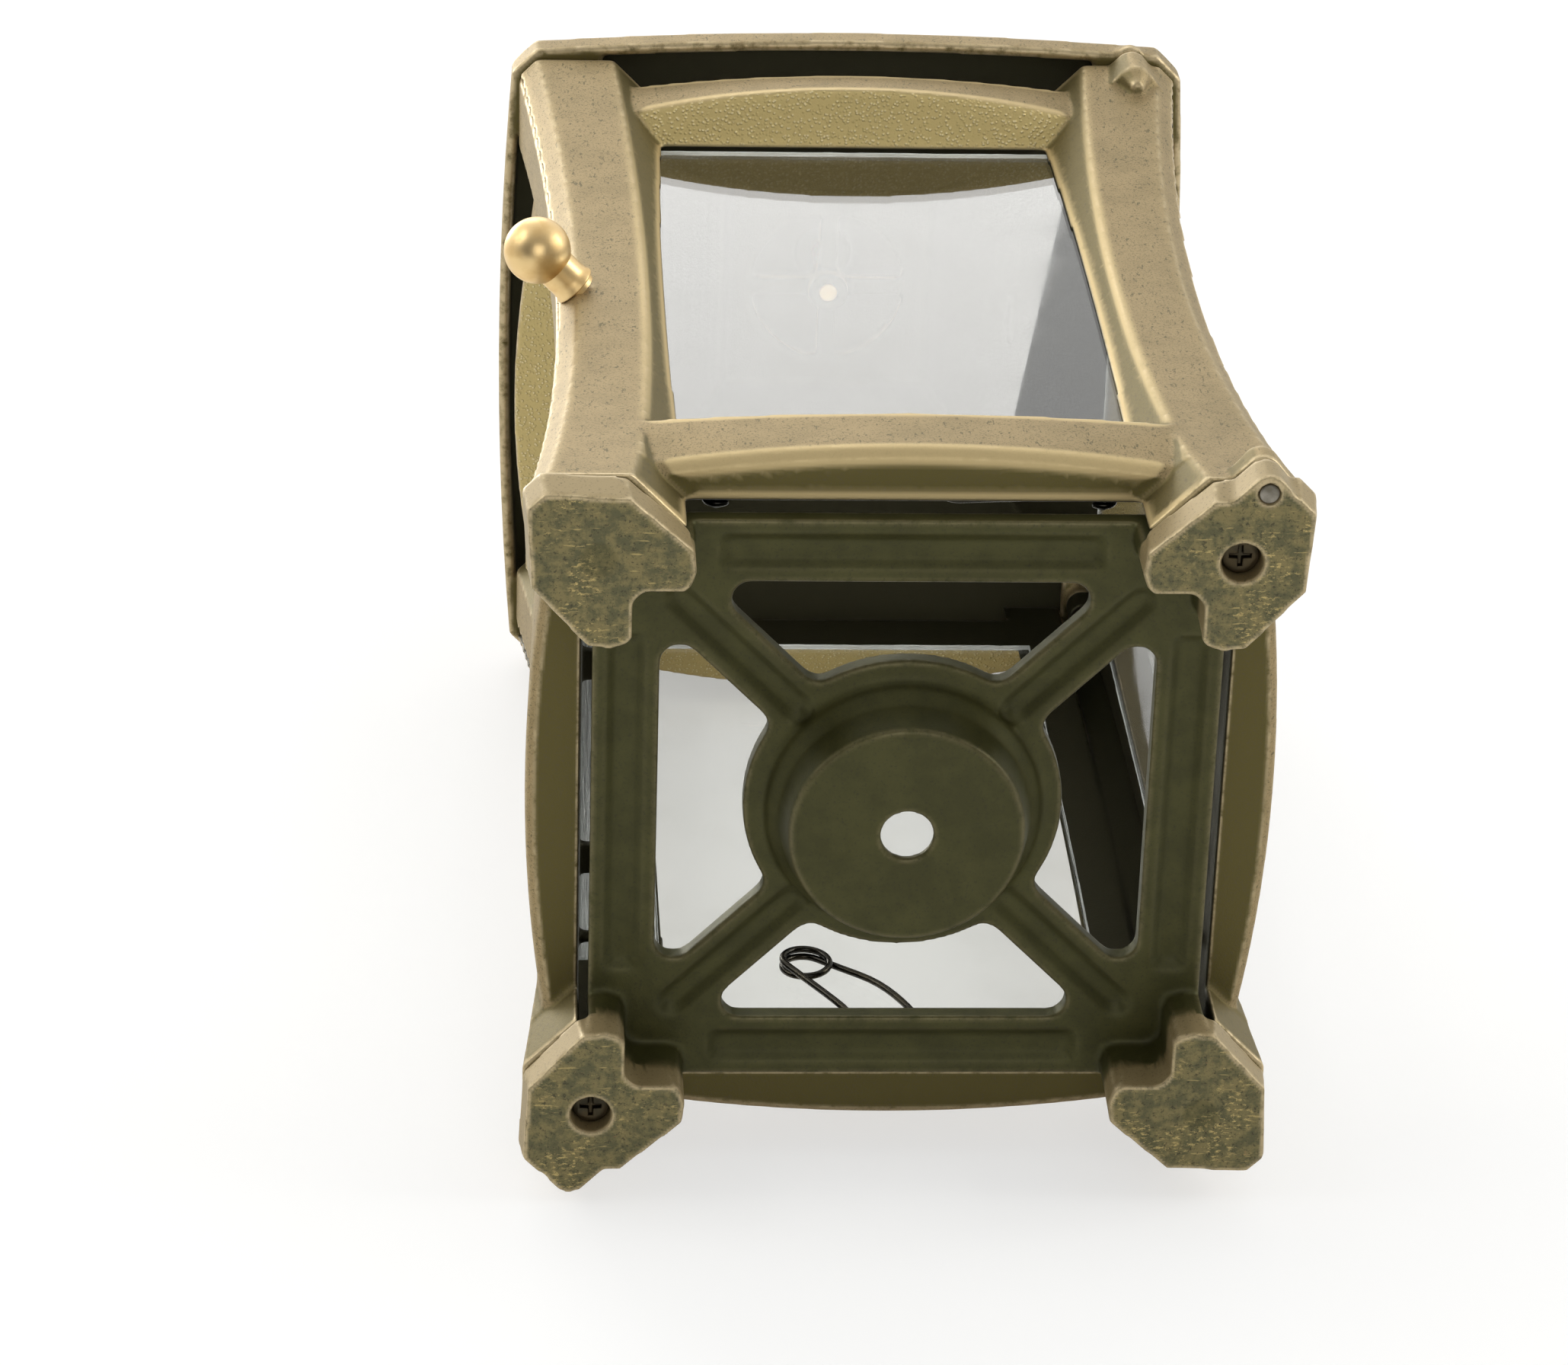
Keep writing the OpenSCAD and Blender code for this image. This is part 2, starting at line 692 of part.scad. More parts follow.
// The base's frame, its four arms and the ring round the cup
module web() {
    translate([0, 0, web_z])
        linear_extrude(height = web_t)
            difference() {
                rounded_square(web_half, 2);
                circle(r = flange_r - 2, $fn = 96);
                for (turn = [0:90:270])
                    rotate(turn)
                        offset(r = opening_rounding, $fn = 32)
                            offset(delta = -opening_rounding)
                                difference() {
                                    polygon([
                                        [0, -arm_w / diagonal],
                                        [web_open_half - arm_w / diagonal, -web_open_half],
                                        [-web_open_half + arm_w / diagonal, -web_open_half]
                                    ]);
                                    circle(r = flange_r, $fn = round_fn);
                                }
            }
}

// Tealight cup with a flange at its mouth and a push-out hole in its floor
module cup() {
    lip_z = web_top + cup_lip;
    floor_z = cup_z + cup_floor;
    rotate_extrude($fn = 120)
        polygon([
            [cup_hole_r, cup_z], [cup_disc_r - 0.6, cup_z], [cup_disc_r, cup_z + 0.6],
            [cup_disc_r + 1.4, web_z - 5], [cup_disc_r + 3.4, web_z - 2.4], [cup_disc_r + 3.9, web_z - 0.9],
            [flange_r - 3, web_z - 0.4], [flange_r - 1.2, web_z], [flange_r, web_z + 1], [flange_r, web_top],
            [cup_r + 3.4, web_top], [cup_r + 2.4, lip_z], [cup_r + 0.6, lip_z],
            [cup_r, lip_z - 0.6], [cup_r, floor_z], [cup_hole_r, floor_z]
        ]);
}

// A trough from z = 0 up, with sloping walls
module trough(length, width, rounding) {
    translate([0, 0, -1])
        linear_extrude(height = 1.01)
            rounded_bar(length, width, rounding);
    linear_extrude(
        height = trough_depth,
        scale = [1 - 2 * trough_slope / length, 1 - 2 * trough_slope / width]
    )
        rounded_bar(length, width, rounding);
}

// A bar along x with rounded corners
module rounded_bar(length, width, rounding) {
    square([length, width - 2 * rounding], center = true);
    square([length - 2 * rounding, width], center = true);
    for (sx = [-1, 1], sy = [-1, 1])
        translate([sx * (length / 2 - rounding), sy * (width / 2 - rounding)])
            circle(r = rounding, $fn = 32);
}

// The shallow troughs cast in the underside of the frame and the arms
module troughs() {
    for (turn = [0:90:270])
        rotate([0, 0, turn]) {
            translate([0, -(web_half + web_open_half) / 2, web_z])
                trough(trough_l, trough_w, 1.6);
            rotate([0, 0, 45])
                translate([(arm_trough_in + arm_trough_out) / 2, 0, web_z])
                    trough(arm_trough_out - arm_trough_in + arm_trough_w, arm_trough_w, arm_trough_w / 2 - 0.1);
        }
}

module left_frame() {
    color(bronze)
        rotate([0, 0, -90])
            side_casting(catch_z, magnet_r, magnet_t);
}

module right_frame() {
    color(bronze)
        rotate([0, 0, 90])
            side_casting(back_screw_z, back_screw_r + 0.2, lug_t + 1);
}

module back_frame() {
    color(bronze)
        rotate([0, 0, 180])
            difference() {
                front_casting(foot_h, rim_z, back_screw_z);
                pin_bores(foot_h, rim_z, pin_r);
                translate([-lug_at, -seat_half + 1, back_screw_z])
                    rotate([90, 0, 0])
                        cylinder(r = back_screw_r, h = 1 + back_screw_grip, $fn = round_fn);
            }
}

module door_frame() {
    color(bronze)
        difference() {
            union() {
                front_casting(door_bottom, door_top, catch_z);
                knob_axis()
                    translate([0, 0, -knob_boss_l])
                        cylinder(r = knob_boss_r, h = knob_boss_l - 2, $fn = round_fn);
            }
            pin_bores(door_bottom, door_top, pin_bore_r);
            knob_axis()
                translate([0, 0, -knob_boss_l - 1])
                    cylinder(r = knob_screw_r, h = knob_boss_l + 4, $fn = round_fn);
            knob_axis()
                translate([0, 0, -knob_boss_l - 8])
                    cylinder(r = knob_boss_r, h = 8, $fn = round_fn);
            translate([-lug_at, -seat_half + 1, catch_z])
                rotate([90, 0, 0])
                    cylinder(r = magnet_r, h = 1 + strike_t, $fn = round_fn);
        }
}

module left_pane() { rotate([0, 0, -90]) pane(); }
module right_pane() { rotate([0, 0, 90]) pane(); }
module back_pane() { rotate([0, 0, 180]) pane(); }
module door_pane() { pane(); }
module left_clip() { rotate([0, 0, -90]) clip(); }
module right_clip() { rotate([0, 0, 90]) clip(); }
module back_clip() { rotate([0, 0, 180]) clip(); }
module door_clip() { clip(); }

module lower_hinge_pin() {
    color(steel)
        translate([hinge_x, -hinge_y, 0])
            cylinder(r = pin_r, h = lower_pin_top, $fn = round_fn);
}

module upper_hinge_pin() {
    color(steel)
        translate([hinge_x, -hinge_y, upper_pin_bottom])
            cylinder(r = pin_r, h = roof_pin_top - upper_pin_bottom, $fn = round_fn);
}

module back_dowels() {
    color(steel)
        translate([-hinge_x, hinge_y, 0]) {
            translate([0, 0, dowel_bottom])
                cylinder(r = pin_r, h = lower_pin_top - dowel_bottom, $fn = round_fn);
            translate([0, 0, upper_pin_bottom])
                cylinder(r = pin_r, h = roof_pin_top - upper_pin_bottom, $fn = round_fn);
        }
}

// A screw standing on its head, with the top of its shank at z = grip
module screw(shank_r, head_r, head_h, grip) {
    difference() {
        union() {
            translate([0, 0, -head_h])
                cylinder(r = head_r, h = head_h, $fn = round_fn);
            cylinder(r = shank_r, h = grip, $fn = round_fn);
        }
        for (turn = [0, 90])
            rotate([0, 0, turn])
                translate([-head_r * 0.6, -0.4, -head_h - 1])
                    cube([head_r * 1.2, 0.8, head_h * 0.6 + 1]);
    }
}

module back_screw() {
    color(steel)
        translate([lug_at, lug_face - lug_t, back_screw_z])
            rotate([-90, 0, 0])
                screw(back_screw_r, 2.4, 1.6, lug_t + 0.3 + back_screw_grip);
}

// Puts z along the knob's axis, outwards, with z = 0 at the corner's ridge
module knob_axis() {
    translate([-face_at(knob_z) + corner_cut, -face_at(knob_z), knob_z])
        rotate([0, 90, 225])
            children();
}

// Ball on a stem with a flared, flat foot, which is notched over the corner that it stands on
module door_knob() {
    color(gold)
        difference() {
            knob_axis() {
                translate([0, 0, -knob_sink]) {
                    cylinder(r1 = stem_r + 0.4, r2 = stem_r, h = 2 * knob_sink, $fn = round_fn);
                    cylinder(r = stem_r, h = knob_reach + knob_sink - knob_r / 2, $fn = round_fn);
                }
                translate([0, 0, knob_reach])
                    sphere(r = knob_r, $fn = round_fn);
            }
            tower();
            knob_axis()
                translate([0, 0, -knob_boss_l])
                    cylinder(r = knob_screw_r, h = knob_boss_l + knob_screw_grip, $fn = round_fn);
        }
}

module knob_screw() {
    color(steel)
        knob_axis()
            translate([0, 0, -knob_boss_l])
                screw(knob_screw_r, 2.3, 1.4, knob_boss_l + knob_screw_grip);
}

module catch_magnet() {
    color(steel)
        translate([-lug_at, -lug_face, catch_z])
            rotate([-90, 0, 0])
                cylinder(r = magnet_r, h = magnet_t, $fn = round_fn);
}

module strike_disc() {
    color(steel)
        translate([-lug_at, -seat_half, catch_z])
            rotate([90, 0, 0])
                cylinder(r = magnet_r, h = strike_t, $fn = round_fn);
}

module foot_screws() {
    color(wire_black)
        for (s = [-1, 1])
            translate([s * post_at, -s * post_at, recess_depth])
                screw(screw_r, recess_r - 0.35, 2, foot_screw_top - recess_depth);
}

module roof_screws() {
    color(wire_black)
        for (sx = [-1, 1], sy = [-1, 1])
            translate([sx * post_at, sy * post_at, top_post_z - top_post_h])
                screw(screw_r, 3.1, 2, top_post_h + roof_screw_grip);
}

// Middle of the circle that hollows out one slope of the roof: distance from the middle, height
function slope_centre() =
    let (
        low = [rim_half - 2, rim_top],
        high = [deck_half, deck_z],
        chord = high - low,
        half = norm(chord) / 2
    )
    (low + high) / 2
        + [chord[1], -chord[0]] / (2 * half) * sqrt(pow(slope_hollow_radius, 2) - pow(half, 2));

// The roof's plan between two heights: four bowed sides, moved in by inset, and cut corners
module roof_block(inset, bottom, top) {
    translate([0, 0, bottom])
        linear_extrude(height = top - bottom)
            intersection() {
                intersection_for(turn = [0:90:270])
                    rotate(turn)
                        translate([0, rim_bow_radius - rim_half])
                            circle(r = rim_bow_radius - inset, $fn = long_fn);
                rotate(45)
                    square(diagonal * (2 * rim_half - rim_corner_cut) - 2 * inset, center = true);
            }
}

// A block with its four upper slopes hollowed out
module pagoda(inset, bottom, top) {
    centre = slope_centre();
    difference() {
        roof_block(inset, bottom, top);
        for (turn = [0:90:270])
            rotate([0, 0, turn])
                translate([0, -centre[0], centre[1]])
                    rotate([0, 90, 0])
                        cylinder(r = slope_hollow_radius + inset, h = big, center = true, $fn = 240);
    }
}

module roof_shell() {
    color(bronze)
        difference() {
            union() {
                difference() {
                    union() {
                        roof_block(0, rim_z, rim_top);
                        pagoda(0, rim_z, deck_z);
                    }
                    pagoda(roof_wall, rim_z - 1, deck_z - roof_wall);
                    translate([0, 0, deck_z - 10])
                        cylinder(r = chimney_r, h = 20, $fn = 96);
                }
                for (sx = [-1, 1], sy = [-1, 1]) {
                    intersection() {
                        translate([sx * (roof_seat + 10), sy * (roof_seat + 10), rim_z + seat_t / 2])
                            cube([20, 20, seat_t], center = true);
                        roof_block(roof_wall / 2, rim_z, rim_top);
                    }
                    translate([sx * post_at, sy * post_at, top_post_z])
                        cylinder(r = roof_post_r, h = 15, $fn = round_fn);
                }
                for (s = [-1, 1])
                    translate([s * hinge_x, -s * hinge_y, rim_z]) {
                        cylinder(r = roof_boss_r, h = roof_knuckle_h / 2, $fn = round_fn);
                        translate([0, 0, roof_knuckle_h / 2])
                            cylinder(r1 = roof_boss_r, r2 = roof_boss_r - 1.6, h = 4.4, $fn = round_fn);
                    }
                for (turn = [0, 90])
                    rotate([0, 0, turn])
                        translate([-chimney_r - 1, -spider_w / 2, deck_z - roof_wall])
                            cube([2 * chimney_r + 2, spider_w, roof_wall]);
                translate([0, 0, deck_z - stud_boss_h])
                    cylinder(r = stud_boss_r, h = stud_boss_h, $fn = round_fn);
                for (side = [0, 1])
                    mirror([side, 0, 0])
                        bail_ear();
            }
            for (sx = [-1, 1], sy = [-1, 1])
                translate([sx * post_at, sy * post_at, top_post_z - 1])
                    cylinder(r = screw_r, h = 1 + roof_screw_grip, $fn = round_fn);
            for (s = [-1, 1])
                translate([s * hinge_x, -s * hinge_y, rim_z - 1])
                    cylinder(r = pin_r, h = 1 + roof_pin_top - rim_z, $fn = round_fn);
            translate([0, 0, deck_z - stud_boss_h - 1])
                cylinder(r = stud_r, h = stud_boss_h + 2, $fn = round_fn);
        }
}

// Height of the roof's slope, at a distance from the middle
function roof_at(x) =
    let (centre = slope_centre())
    centre[1] - sqrt(pow(slope_hollow_radius, 2) - pow(x - centre[0], 2));

// Upright ear on the roof's slope, for one end of the bail
module bail_ear() {
    ear_bottom = roof_at(ear_x + ear_t) - roof_wall / 2;
    difference() {
        union() {
            translate([ear_x, 0, pivot_z])
                rotate([0, 90, 0])
                    cylinder(r = ear_r, h = ear_t, $fn = round_fn);
            translate([ear_x, -ear_r, ear_bottom])
                cube([ear_t, 2 * ear_r, pivot_z - ear_bottom]);
        }
        translate([ear_x - 1, 0, pivot_z])
            rotate([0, 90, 0])
                cylinder(r = rivet_r, h = ear_t + 2, $fn = round_fn);
    }
}

// Spun cap with a hollow sweep to its neck, on four legs that stand on the deck
module vent_cap() {
    eave_z = deck_z + vent_gap;
    leg_rise = cap_rise(diagonal * cap_leg_at + 0.8 * cap_leg_r);
    leg_h = vent_gap + (cap_h - cap_t) * leg_rise + cap_t / 2;
    color(bronze) {
        rotate_extrude($fn = 120)
            polygon(concat(
                [[cap_r, eave_z]],
                [for (i = [0:cap_steps]) cap_point(i / cap_steps, 0)],
                [[stud_r + 0.2, eave_z + cap_h], [stud_r + 0.2, eave_z + cap_h - cap_t]],
                [for (i = [cap_steps:-1:0]) cap_point(i / cap_steps, cap_t)]
            ));
        for (turn = [0:90:270])
            rotate([0, 0, turn])
                translate([cap_leg_at, cap_leg_at, deck_z])
                    cylinder(r = cap_leg_r, h = leg_h, $fn = round_fn);
    }
}

// How far up its sweep the cap is at a distance from its middle, 0 at the eave and 1 at the neck
function cap_rise(r) = 1 - pow((r - cap_neck_r) / (cap_r - cap_neck_r), 1 / cap_sweep);

// Point of the cap's sweep, t = 0 at the eave and 1 at the neck, moved in by inset
function cap_point(t, inset) = [
    cap_neck_r + (cap_r - cap_neck_r) * pow(1 - t, cap_sweep) - inset * (1 - t),
    deck_z + vent_gap + (inset > 0 ? 0 : 1.2) + (cap_h - (inset > 0 ? inset : 1.2)) * t
];

module finial() {
    neck_z = deck_z + vent_gap + cap_h;
    color(gold) {
        translate([0, 0, deck_z - stud_boss_h])
            cylinder(r = stud_r, h = neck_z - deck_z + stud_boss_h + 1, $fn = round_fn);
        translate([0, 0, neck_z])
            cylinder(r = finial_r, h = 1.6, $fn = round_fn);
        translate([0, 0, neck_z + 1.6])
            cylinder(r1 = finial_r - 0.8, r2 = finial_r / 2, h = 2.4, $fn = round_fn);
        translate([0, 0, neck_z + 3 + finial_r])
            sphere(r = finial_r, $fn = round_fn);
    }
}

// Carrying bail: two eyes, two arms and a half-round, lying back on the roof
module bail() {
    color(dark_bronze)
        translate([0, 0, pivot_z])
            rotate([-bail_droop, 0, 0])
                difference() {
                    union() {
                        translate([0, bail_arm, 0])
                            rotate_extrude(angle = 180, $fn = 120)
                                translate([pivot_x, 0])
                                    circle(r = bail_r, $fn = 32);
                        for (side = [-1, 1])
                            translate([side * pivot_x, 0, 0]) {
                                rotate([-90, 0, 0])
                                    cylinder(r = bail_r, h = bail_arm, $fn = 32);
                                rotate([0, 90, 0])
                                    cylinder(r = eye_r, h = eye_t, center = true, $fn = round_fn);
                            }
                    }
                    rotate([0, 90, 0])
                        cylinder(r = rivet_r + knuckle_clearance, h = big, center = true, $fn = round_fn);
                }
}

module bail_rivets() {
    color(dark_bronze)
        for (side = [0, 1])
            mirror([side, 0, 0])
                translate([ear_x, 0, pivot_z])
                    rotate([0, 90, 0]) {
                        cylinder(r = rivet_r, h = rivet_l, $fn = round_fn);
                        translate([0, 0, -1.2])
                            cylinder(r = rivet_head_r, h = 1.2, $fn = round_fn);
                        translate([0, 0, rivet_l])
                            cylinder(r = rivet_head_r, h = 1.2, $fn = round_fn);
                    }
}

base_frame();
left_frame();
right_frame();
back_frame();
door_frame();
left_pane();
right_pane();
back_pane();
door_pane();
left_clip();
right_clip();
back_clip();
door_clip();
lower_hinge_pin();
upper_hinge_pin();
back_dowels();
back_screw();
door_knob();
knob_screw();
catch_magnet();
strike_disc();
foot_screws();
roof_screws();
roof_shell();
vent_cap();
finial();
bail();
bail_rivets();
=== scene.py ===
"""Candle lantern lying on its back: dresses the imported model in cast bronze, glass and wire.

Lengths are metres, in the lantern's own frame: +Z up when it stands, the door faces -Y, the
origin is between the four feet. The lantern lies with its back on a pale floor.
"""

from __future__ import annotations

import json
import logging
import math
from dataclasses import dataclass, field
from enum import Enum
from typing import Callable

import bpy
import numpy as np
from mathutils import Matrix, Vector

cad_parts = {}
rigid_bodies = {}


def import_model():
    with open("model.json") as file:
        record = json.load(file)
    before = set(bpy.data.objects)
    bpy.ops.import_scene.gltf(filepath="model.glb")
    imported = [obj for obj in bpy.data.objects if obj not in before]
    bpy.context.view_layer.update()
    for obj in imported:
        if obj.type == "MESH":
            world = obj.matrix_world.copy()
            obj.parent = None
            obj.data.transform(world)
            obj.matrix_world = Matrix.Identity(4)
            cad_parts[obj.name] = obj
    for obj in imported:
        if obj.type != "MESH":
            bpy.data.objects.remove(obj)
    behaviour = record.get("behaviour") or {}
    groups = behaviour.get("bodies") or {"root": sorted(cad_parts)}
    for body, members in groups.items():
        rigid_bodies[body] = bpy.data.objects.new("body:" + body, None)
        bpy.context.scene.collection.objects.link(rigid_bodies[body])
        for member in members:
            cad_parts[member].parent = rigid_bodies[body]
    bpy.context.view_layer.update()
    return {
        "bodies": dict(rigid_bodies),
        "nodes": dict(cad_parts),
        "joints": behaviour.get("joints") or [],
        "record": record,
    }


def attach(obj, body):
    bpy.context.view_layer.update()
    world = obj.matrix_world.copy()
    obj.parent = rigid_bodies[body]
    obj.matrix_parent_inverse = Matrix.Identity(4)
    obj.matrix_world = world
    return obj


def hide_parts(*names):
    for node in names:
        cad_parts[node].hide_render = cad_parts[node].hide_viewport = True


log = logging.getLogger("candle_lantern")

MM = 0.001

Colour = tuple[float, float, float]
Point = tuple[float, float, float]
Mask = Callable[[np.ndarray, np.ndarray], np.ndarray]
Socket = bpy.types.NodeSocket


class Body(str, Enum):
    """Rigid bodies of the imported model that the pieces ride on."""

    LANTERN = "lantern"
    DOOR = "door"
    BAIL = "bail"


class Slot(str, Enum):
    """Material slots of the record that the pieces take their finish from."""

    BRONZE = "bronze"
    DARK_BRONZE = "dark_bronze"
    GOLD_BRONZE = "gold_bronze"
    GLASS = "glass"
    SPRING_WIRE = "spring_wire"
    STEEL = "steel"
    MAGNET = "magnet"
    BLACK_SCREW = "black_screw"


# ------------------------------------------------------------------------------ materials


class Graph:
    """Node tree of one material, with a short call for each kind of node it uses."""

    def __init__(self, name: str) -> None:
        """Start a material with a Principled shader joined to its output.

        Args:
            name: Name of the material.
        """
        self.material = bpy.data.materials.new(name)
        self.material.use_nodes = True
        self.tree = self.material.node_tree
        self.shader = self.tree.nodes["Principled BSDF"]
        self.output = self.tree.nodes["Material Output"]

    def add(self, kind: str, **settings: object) -> bpy.types.Node:
        """Add a node.

        Args:
            kind: Blender's name for the node's type.
            **settings: Properties to set on it.

        Returns:
            The new node.
        """
        node = self.tree.nodes.new(kind)
        for key, value in settings.items():
            setattr(node, key, value)
        return node

    def link(self, start: Socket, end: Socket) -> None:
        """Join an output socket to an input socket.

        Args:
            start: Output socket.
            end: Input socket.
        """
        self.tree.links.new(start, end)

    def place(self, stretch: Point = (1.0, 1.0, 1.0)) -> Socket:
        """Give the object coordinates, stretched along each axis.

        Args:
            stretch: Factor for each axis.

        Returns:
            The vector output.
        """
        coords = self.add("ShaderNodeTexCoord")
        mapping = self.add("ShaderNodeMapping")
        mapping.inputs["Scale"].default_value = stretch
        self.link(coords.outputs["Object"], mapping.inputs["Vector"])
        return mapping.outputs["Vector"]

    def noise(
        self, size: float, detail: float = 3.0, rough: float = 0.5, stretch: Point = (1.0, 1.0, 1.0)
    ) -> Socket:
        """Add a noise pattern whose features are about size metres across.

        Args:
            size: Width of a feature.
            detail: Octaves of finer noise.
            rough: Strength of the finer octaves.
            stretch: Factor for each axis of the coordinates.

        Returns:
            The grey output, from 0 to 1.
        """
        node = self.add("ShaderNodeTexNoise")
        node.inputs["Scale"].default_value = 1.0 / size
        node.inputs["Detail"].default_value = detail
        node.inputs["Roughness"].default_value = rough
        self.link(self.place(stretch), node.inputs["Vector"])
        return node.outputs["Fac"]

    def pebbles(self, size: float) -> Socket:
        """Add round bumps about size metres apart.

        Args:
            size: Distance between bumps.

        Returns:
            The grey output, high on each bump.
        """
        node = self.add("ShaderNodeTexVoronoi", feature="SMOOTH_F1")
        node.inputs["Scale"].default_value = 1.0 / size
        node.inputs["Smoothness"].default_value = 0.35
        self.link(self.place(), node.inputs["Vector"])
        return self.span(node.outputs["Distance"], 0.55, 0.1)

    def span(self, value: Socket, low: float, high: float, top: float = 1.0) -> Socket:
        """Map a value from low..high to 0..top, smoothly and clamped.

        Args:
            value: What to map.
            low: Value that becomes 0.
            high: Value that becomes top.
            top: Highest result.

        Returns:
            The mapped value.
        """
        node = self.add("ShaderNodeMapRange", interpolation_type="SMOOTHSTEP")
        for socket, number in zip(("From Min", "From Max", "To Min", "To Max"), (low, high, 0.0, top)):
            node.inputs[socket].default_value = number
        self.link(value, node.inputs["Value"])
        return node.outputs["Result"]

    def maths(self, operation: str, a: Socket, b: Socket | float) -> Socket:
        """Combine two values.

        Args:
            operation: Blender's name of the operation.
            a: First value.
            b: Second value, a socket or a number.

        Returns:
            The result.
        """
        node = self.add("ShaderNodeMath", operation=operation)
        self.link(a, node.inputs[0])
        if isinstance(b, (int, float)):
            node.inputs[1].default_value = b
        else:
            self.link(b, node.inputs[1])
        return node.outputs[0]

    def painted(self, name: str) -> Socket:
        """Give a value that was painted on the mesh's points.

        Args:
            name: Name of the painted attribute.

        Returns:
            The grey output.
        """
        return self.add("ShaderNodeAttribute", attribute_name=name).outputs["Fac"]

    def blend(self, amount: Socket, base: Socket | Colour, over: Socket | Colour) -> Socket:
        """Lay one colour over another.

        Args:
            amount: How much of the upper colour shows, from 0 to 1.
            base: Lower colour, a socket or three numbers.
            over: Upper colour, a socket or three numbers.

        Returns:
            The mixed colour.
        """
        node = self.add("ShaderNodeMix", data_type="RGBA")
        self.link(amount, node.inputs["Factor"])
        for socket, value in ((node.inputs[6], base), (node.inputs[7], over)):
            if isinstance(value, tuple):
                socket.default_value = (*value, 1.0)
            else:
                self.link(value, socket)
        return node.outputs[2]

    def bump(
        self, height: Socket, depth: float, strength: float, under: Socket | None = None
    ) -> Socket:
        """Turn a height into a bump.

        Args:
            height: Height from 0 to 1.
            depth: Metres that a height of 1 stands for.
            strength: Share of the bump that is used.
            under: Bump that this one is added to.

        Returns:
            The normal output.
        """
        node = self.add("ShaderNodeBump")
        node.inputs["Strength"].default_value = strength
        node.inputs["Distance"].default_value = depth
        self.link(height, node.inputs["Height"])
        if under is not None:
            self.link(under, node.inputs["Normal"])
        return node.outputs["Normal"]

    def finish(self, colour: Socket, rough: Socket, normal: Socket, metal: float) -> bpy.types.Material:
        """Join the results to the shader.

        Args:
            colour: Base colour.
            rough: Roughness.
            normal: Normal.
            metal: How metallic the surface is.

        Returns:
            The material.
        """
        self.link(colour, self.shader.inputs["Base Color"])
        self.link(rough, self.shader.inputs["Roughness"])
        self.link(normal, self.shader.inputs["Normal"])
        self.shader.inputs["Metallic"].default_value = metal
        return self.material


@dataclass(frozen=True)
class CastFinish:
    """Cast metal under an antique bronze coating, rubbed bright on its edges, with shade painted below,
    inside, on the stiles' slopes and in hollows, and highlights painted on the door's ridges and on the
    hammered facet.
    """

    name: str
    coat: Colour = (0.37, 0.28, 0.14)
    mottle: Colour = (0.305, 0.232, 0.112)
    rubbed: Colour = (0.62, 0.5, 0.3)
    # painted highlight along the door's ridges
    ridge: Colour = (0.66, 0.52, 0.27)
    # painted shade in hollows
    hollow_shade: Colour = (0.16, 0.125, 0.05)
    fleck: Colour = (0.12, 0.1, 0.045)
    # painted shade on faces looking down
    under: Colour = (0.125, 0.103, 0.031)
    # painted shade inside the lantern, on the frames' backs and in the gap at the right frame's ends
    inside: Colour = (0.04, 0.036, 0.017)
    # the hammered facet painted lighter, as if lit
    hammered: Colour = (0.66, 0.53, 0.23)
    # painted glints on the hammered bumps
    bump_glints: Colour = (0.88, 0.77, 0.48)
    metal: float = 0.72
    rough: float = 0.47

    def material(self) -> bpy.types.Material:
        """Build the finish's material.

        Returns:
            The material.
        """
        g = Graph(self.name)
        clouds = g.span(g.noise(9 * MM, 5.0, 0.65), 0.38, 0.66, 0.8)
        colour = g.blend(clouds, self.coat, self.mottle)
        # painted shade in hollows
        colour = g.blend(g.painted("nook_shade"), colour, self.hollow_shade)
        # painted shade on faces looking down
        colour = g.blend(g.painted("under"), colour, self.under)
        # painted shade on the stiles' slopes, in the colour of the faces looking down
        colour = g.blend(g.maths("MULTIPLY", g.painted("slope"), 0.8), colour, self.under)
        grain = g.noise(0.42 * MM, 3.0, 0.7)
        colour = g.blend(g.span(grain, 0.5, 0.66, 0.62), colour, self.fleck)
        flecks = g.span(g.noise(0.7 * MM, 2.0, 0.6, (1.0, 1.0, 0.4)), 0.6, 0.7, 0.8)
        colour = g.blend(flecks, colour, self.fleck)
        rub = g.maths("MULTIPLY", g.painted("rub"), g.span(g.noise(2.4 * MM, 4.0, 0.65), 0.22, 0.6))
        colour = g.blend(rub, colour, self.rubbed)
        # painted highlight along the ridges, stronger on the rails
        highlight_share = g.maths("ADD", g.maths("MULTIPLY", g.painted("rail"), 0.7), 0.12)
        colour = g.blend(g.maths("MULTIPLY", g.painted("ridge"), highlight_share), colour, self.ridge)
        pebbles = g.pebbles(0.8 * MM)
        # hammered facet: real bumps, with a painted lighter colour and painted glints on them
        hammered = g.painted("hammered")
        colour = g.blend(g.maths("MULTIPLY", hammered, 0.85), colour, self.hammered)
        bump_glints = g.maths("MULTIPLY", hammered, g.span(pebbles, 0.5, 1.0, 0.85))
        colour = g.blend(bump_glints, colour, self.bump_glints)
        # painted shade inside the lantern and on the frames' backs
        colour = g.blend(g.painted("inside"), colour, self.inside)
        rough = g.add("ShaderNodeMapRange")
        rough.inputs["To Min"].default_value = self.rough + 0.08
        rough.inputs["To Max"].default_value = self.rough - 0.1
        g.link(rub, rough.inputs["Value"])
        normal = g.bump(grain, 0.08 * MM, 0.75)
        normal = g.bump(g.noise(1.6 * MM, 3.0), 0.08 * MM, 0.35, normal)
        lumps = g.maths("MULTIPLY", hammered, pebbles)
        normal = g.bump(lumps, 0.22 * MM, 0.9, normal)
        return g.finish(colour, rough.outputs["Result"], normal, self.metal)


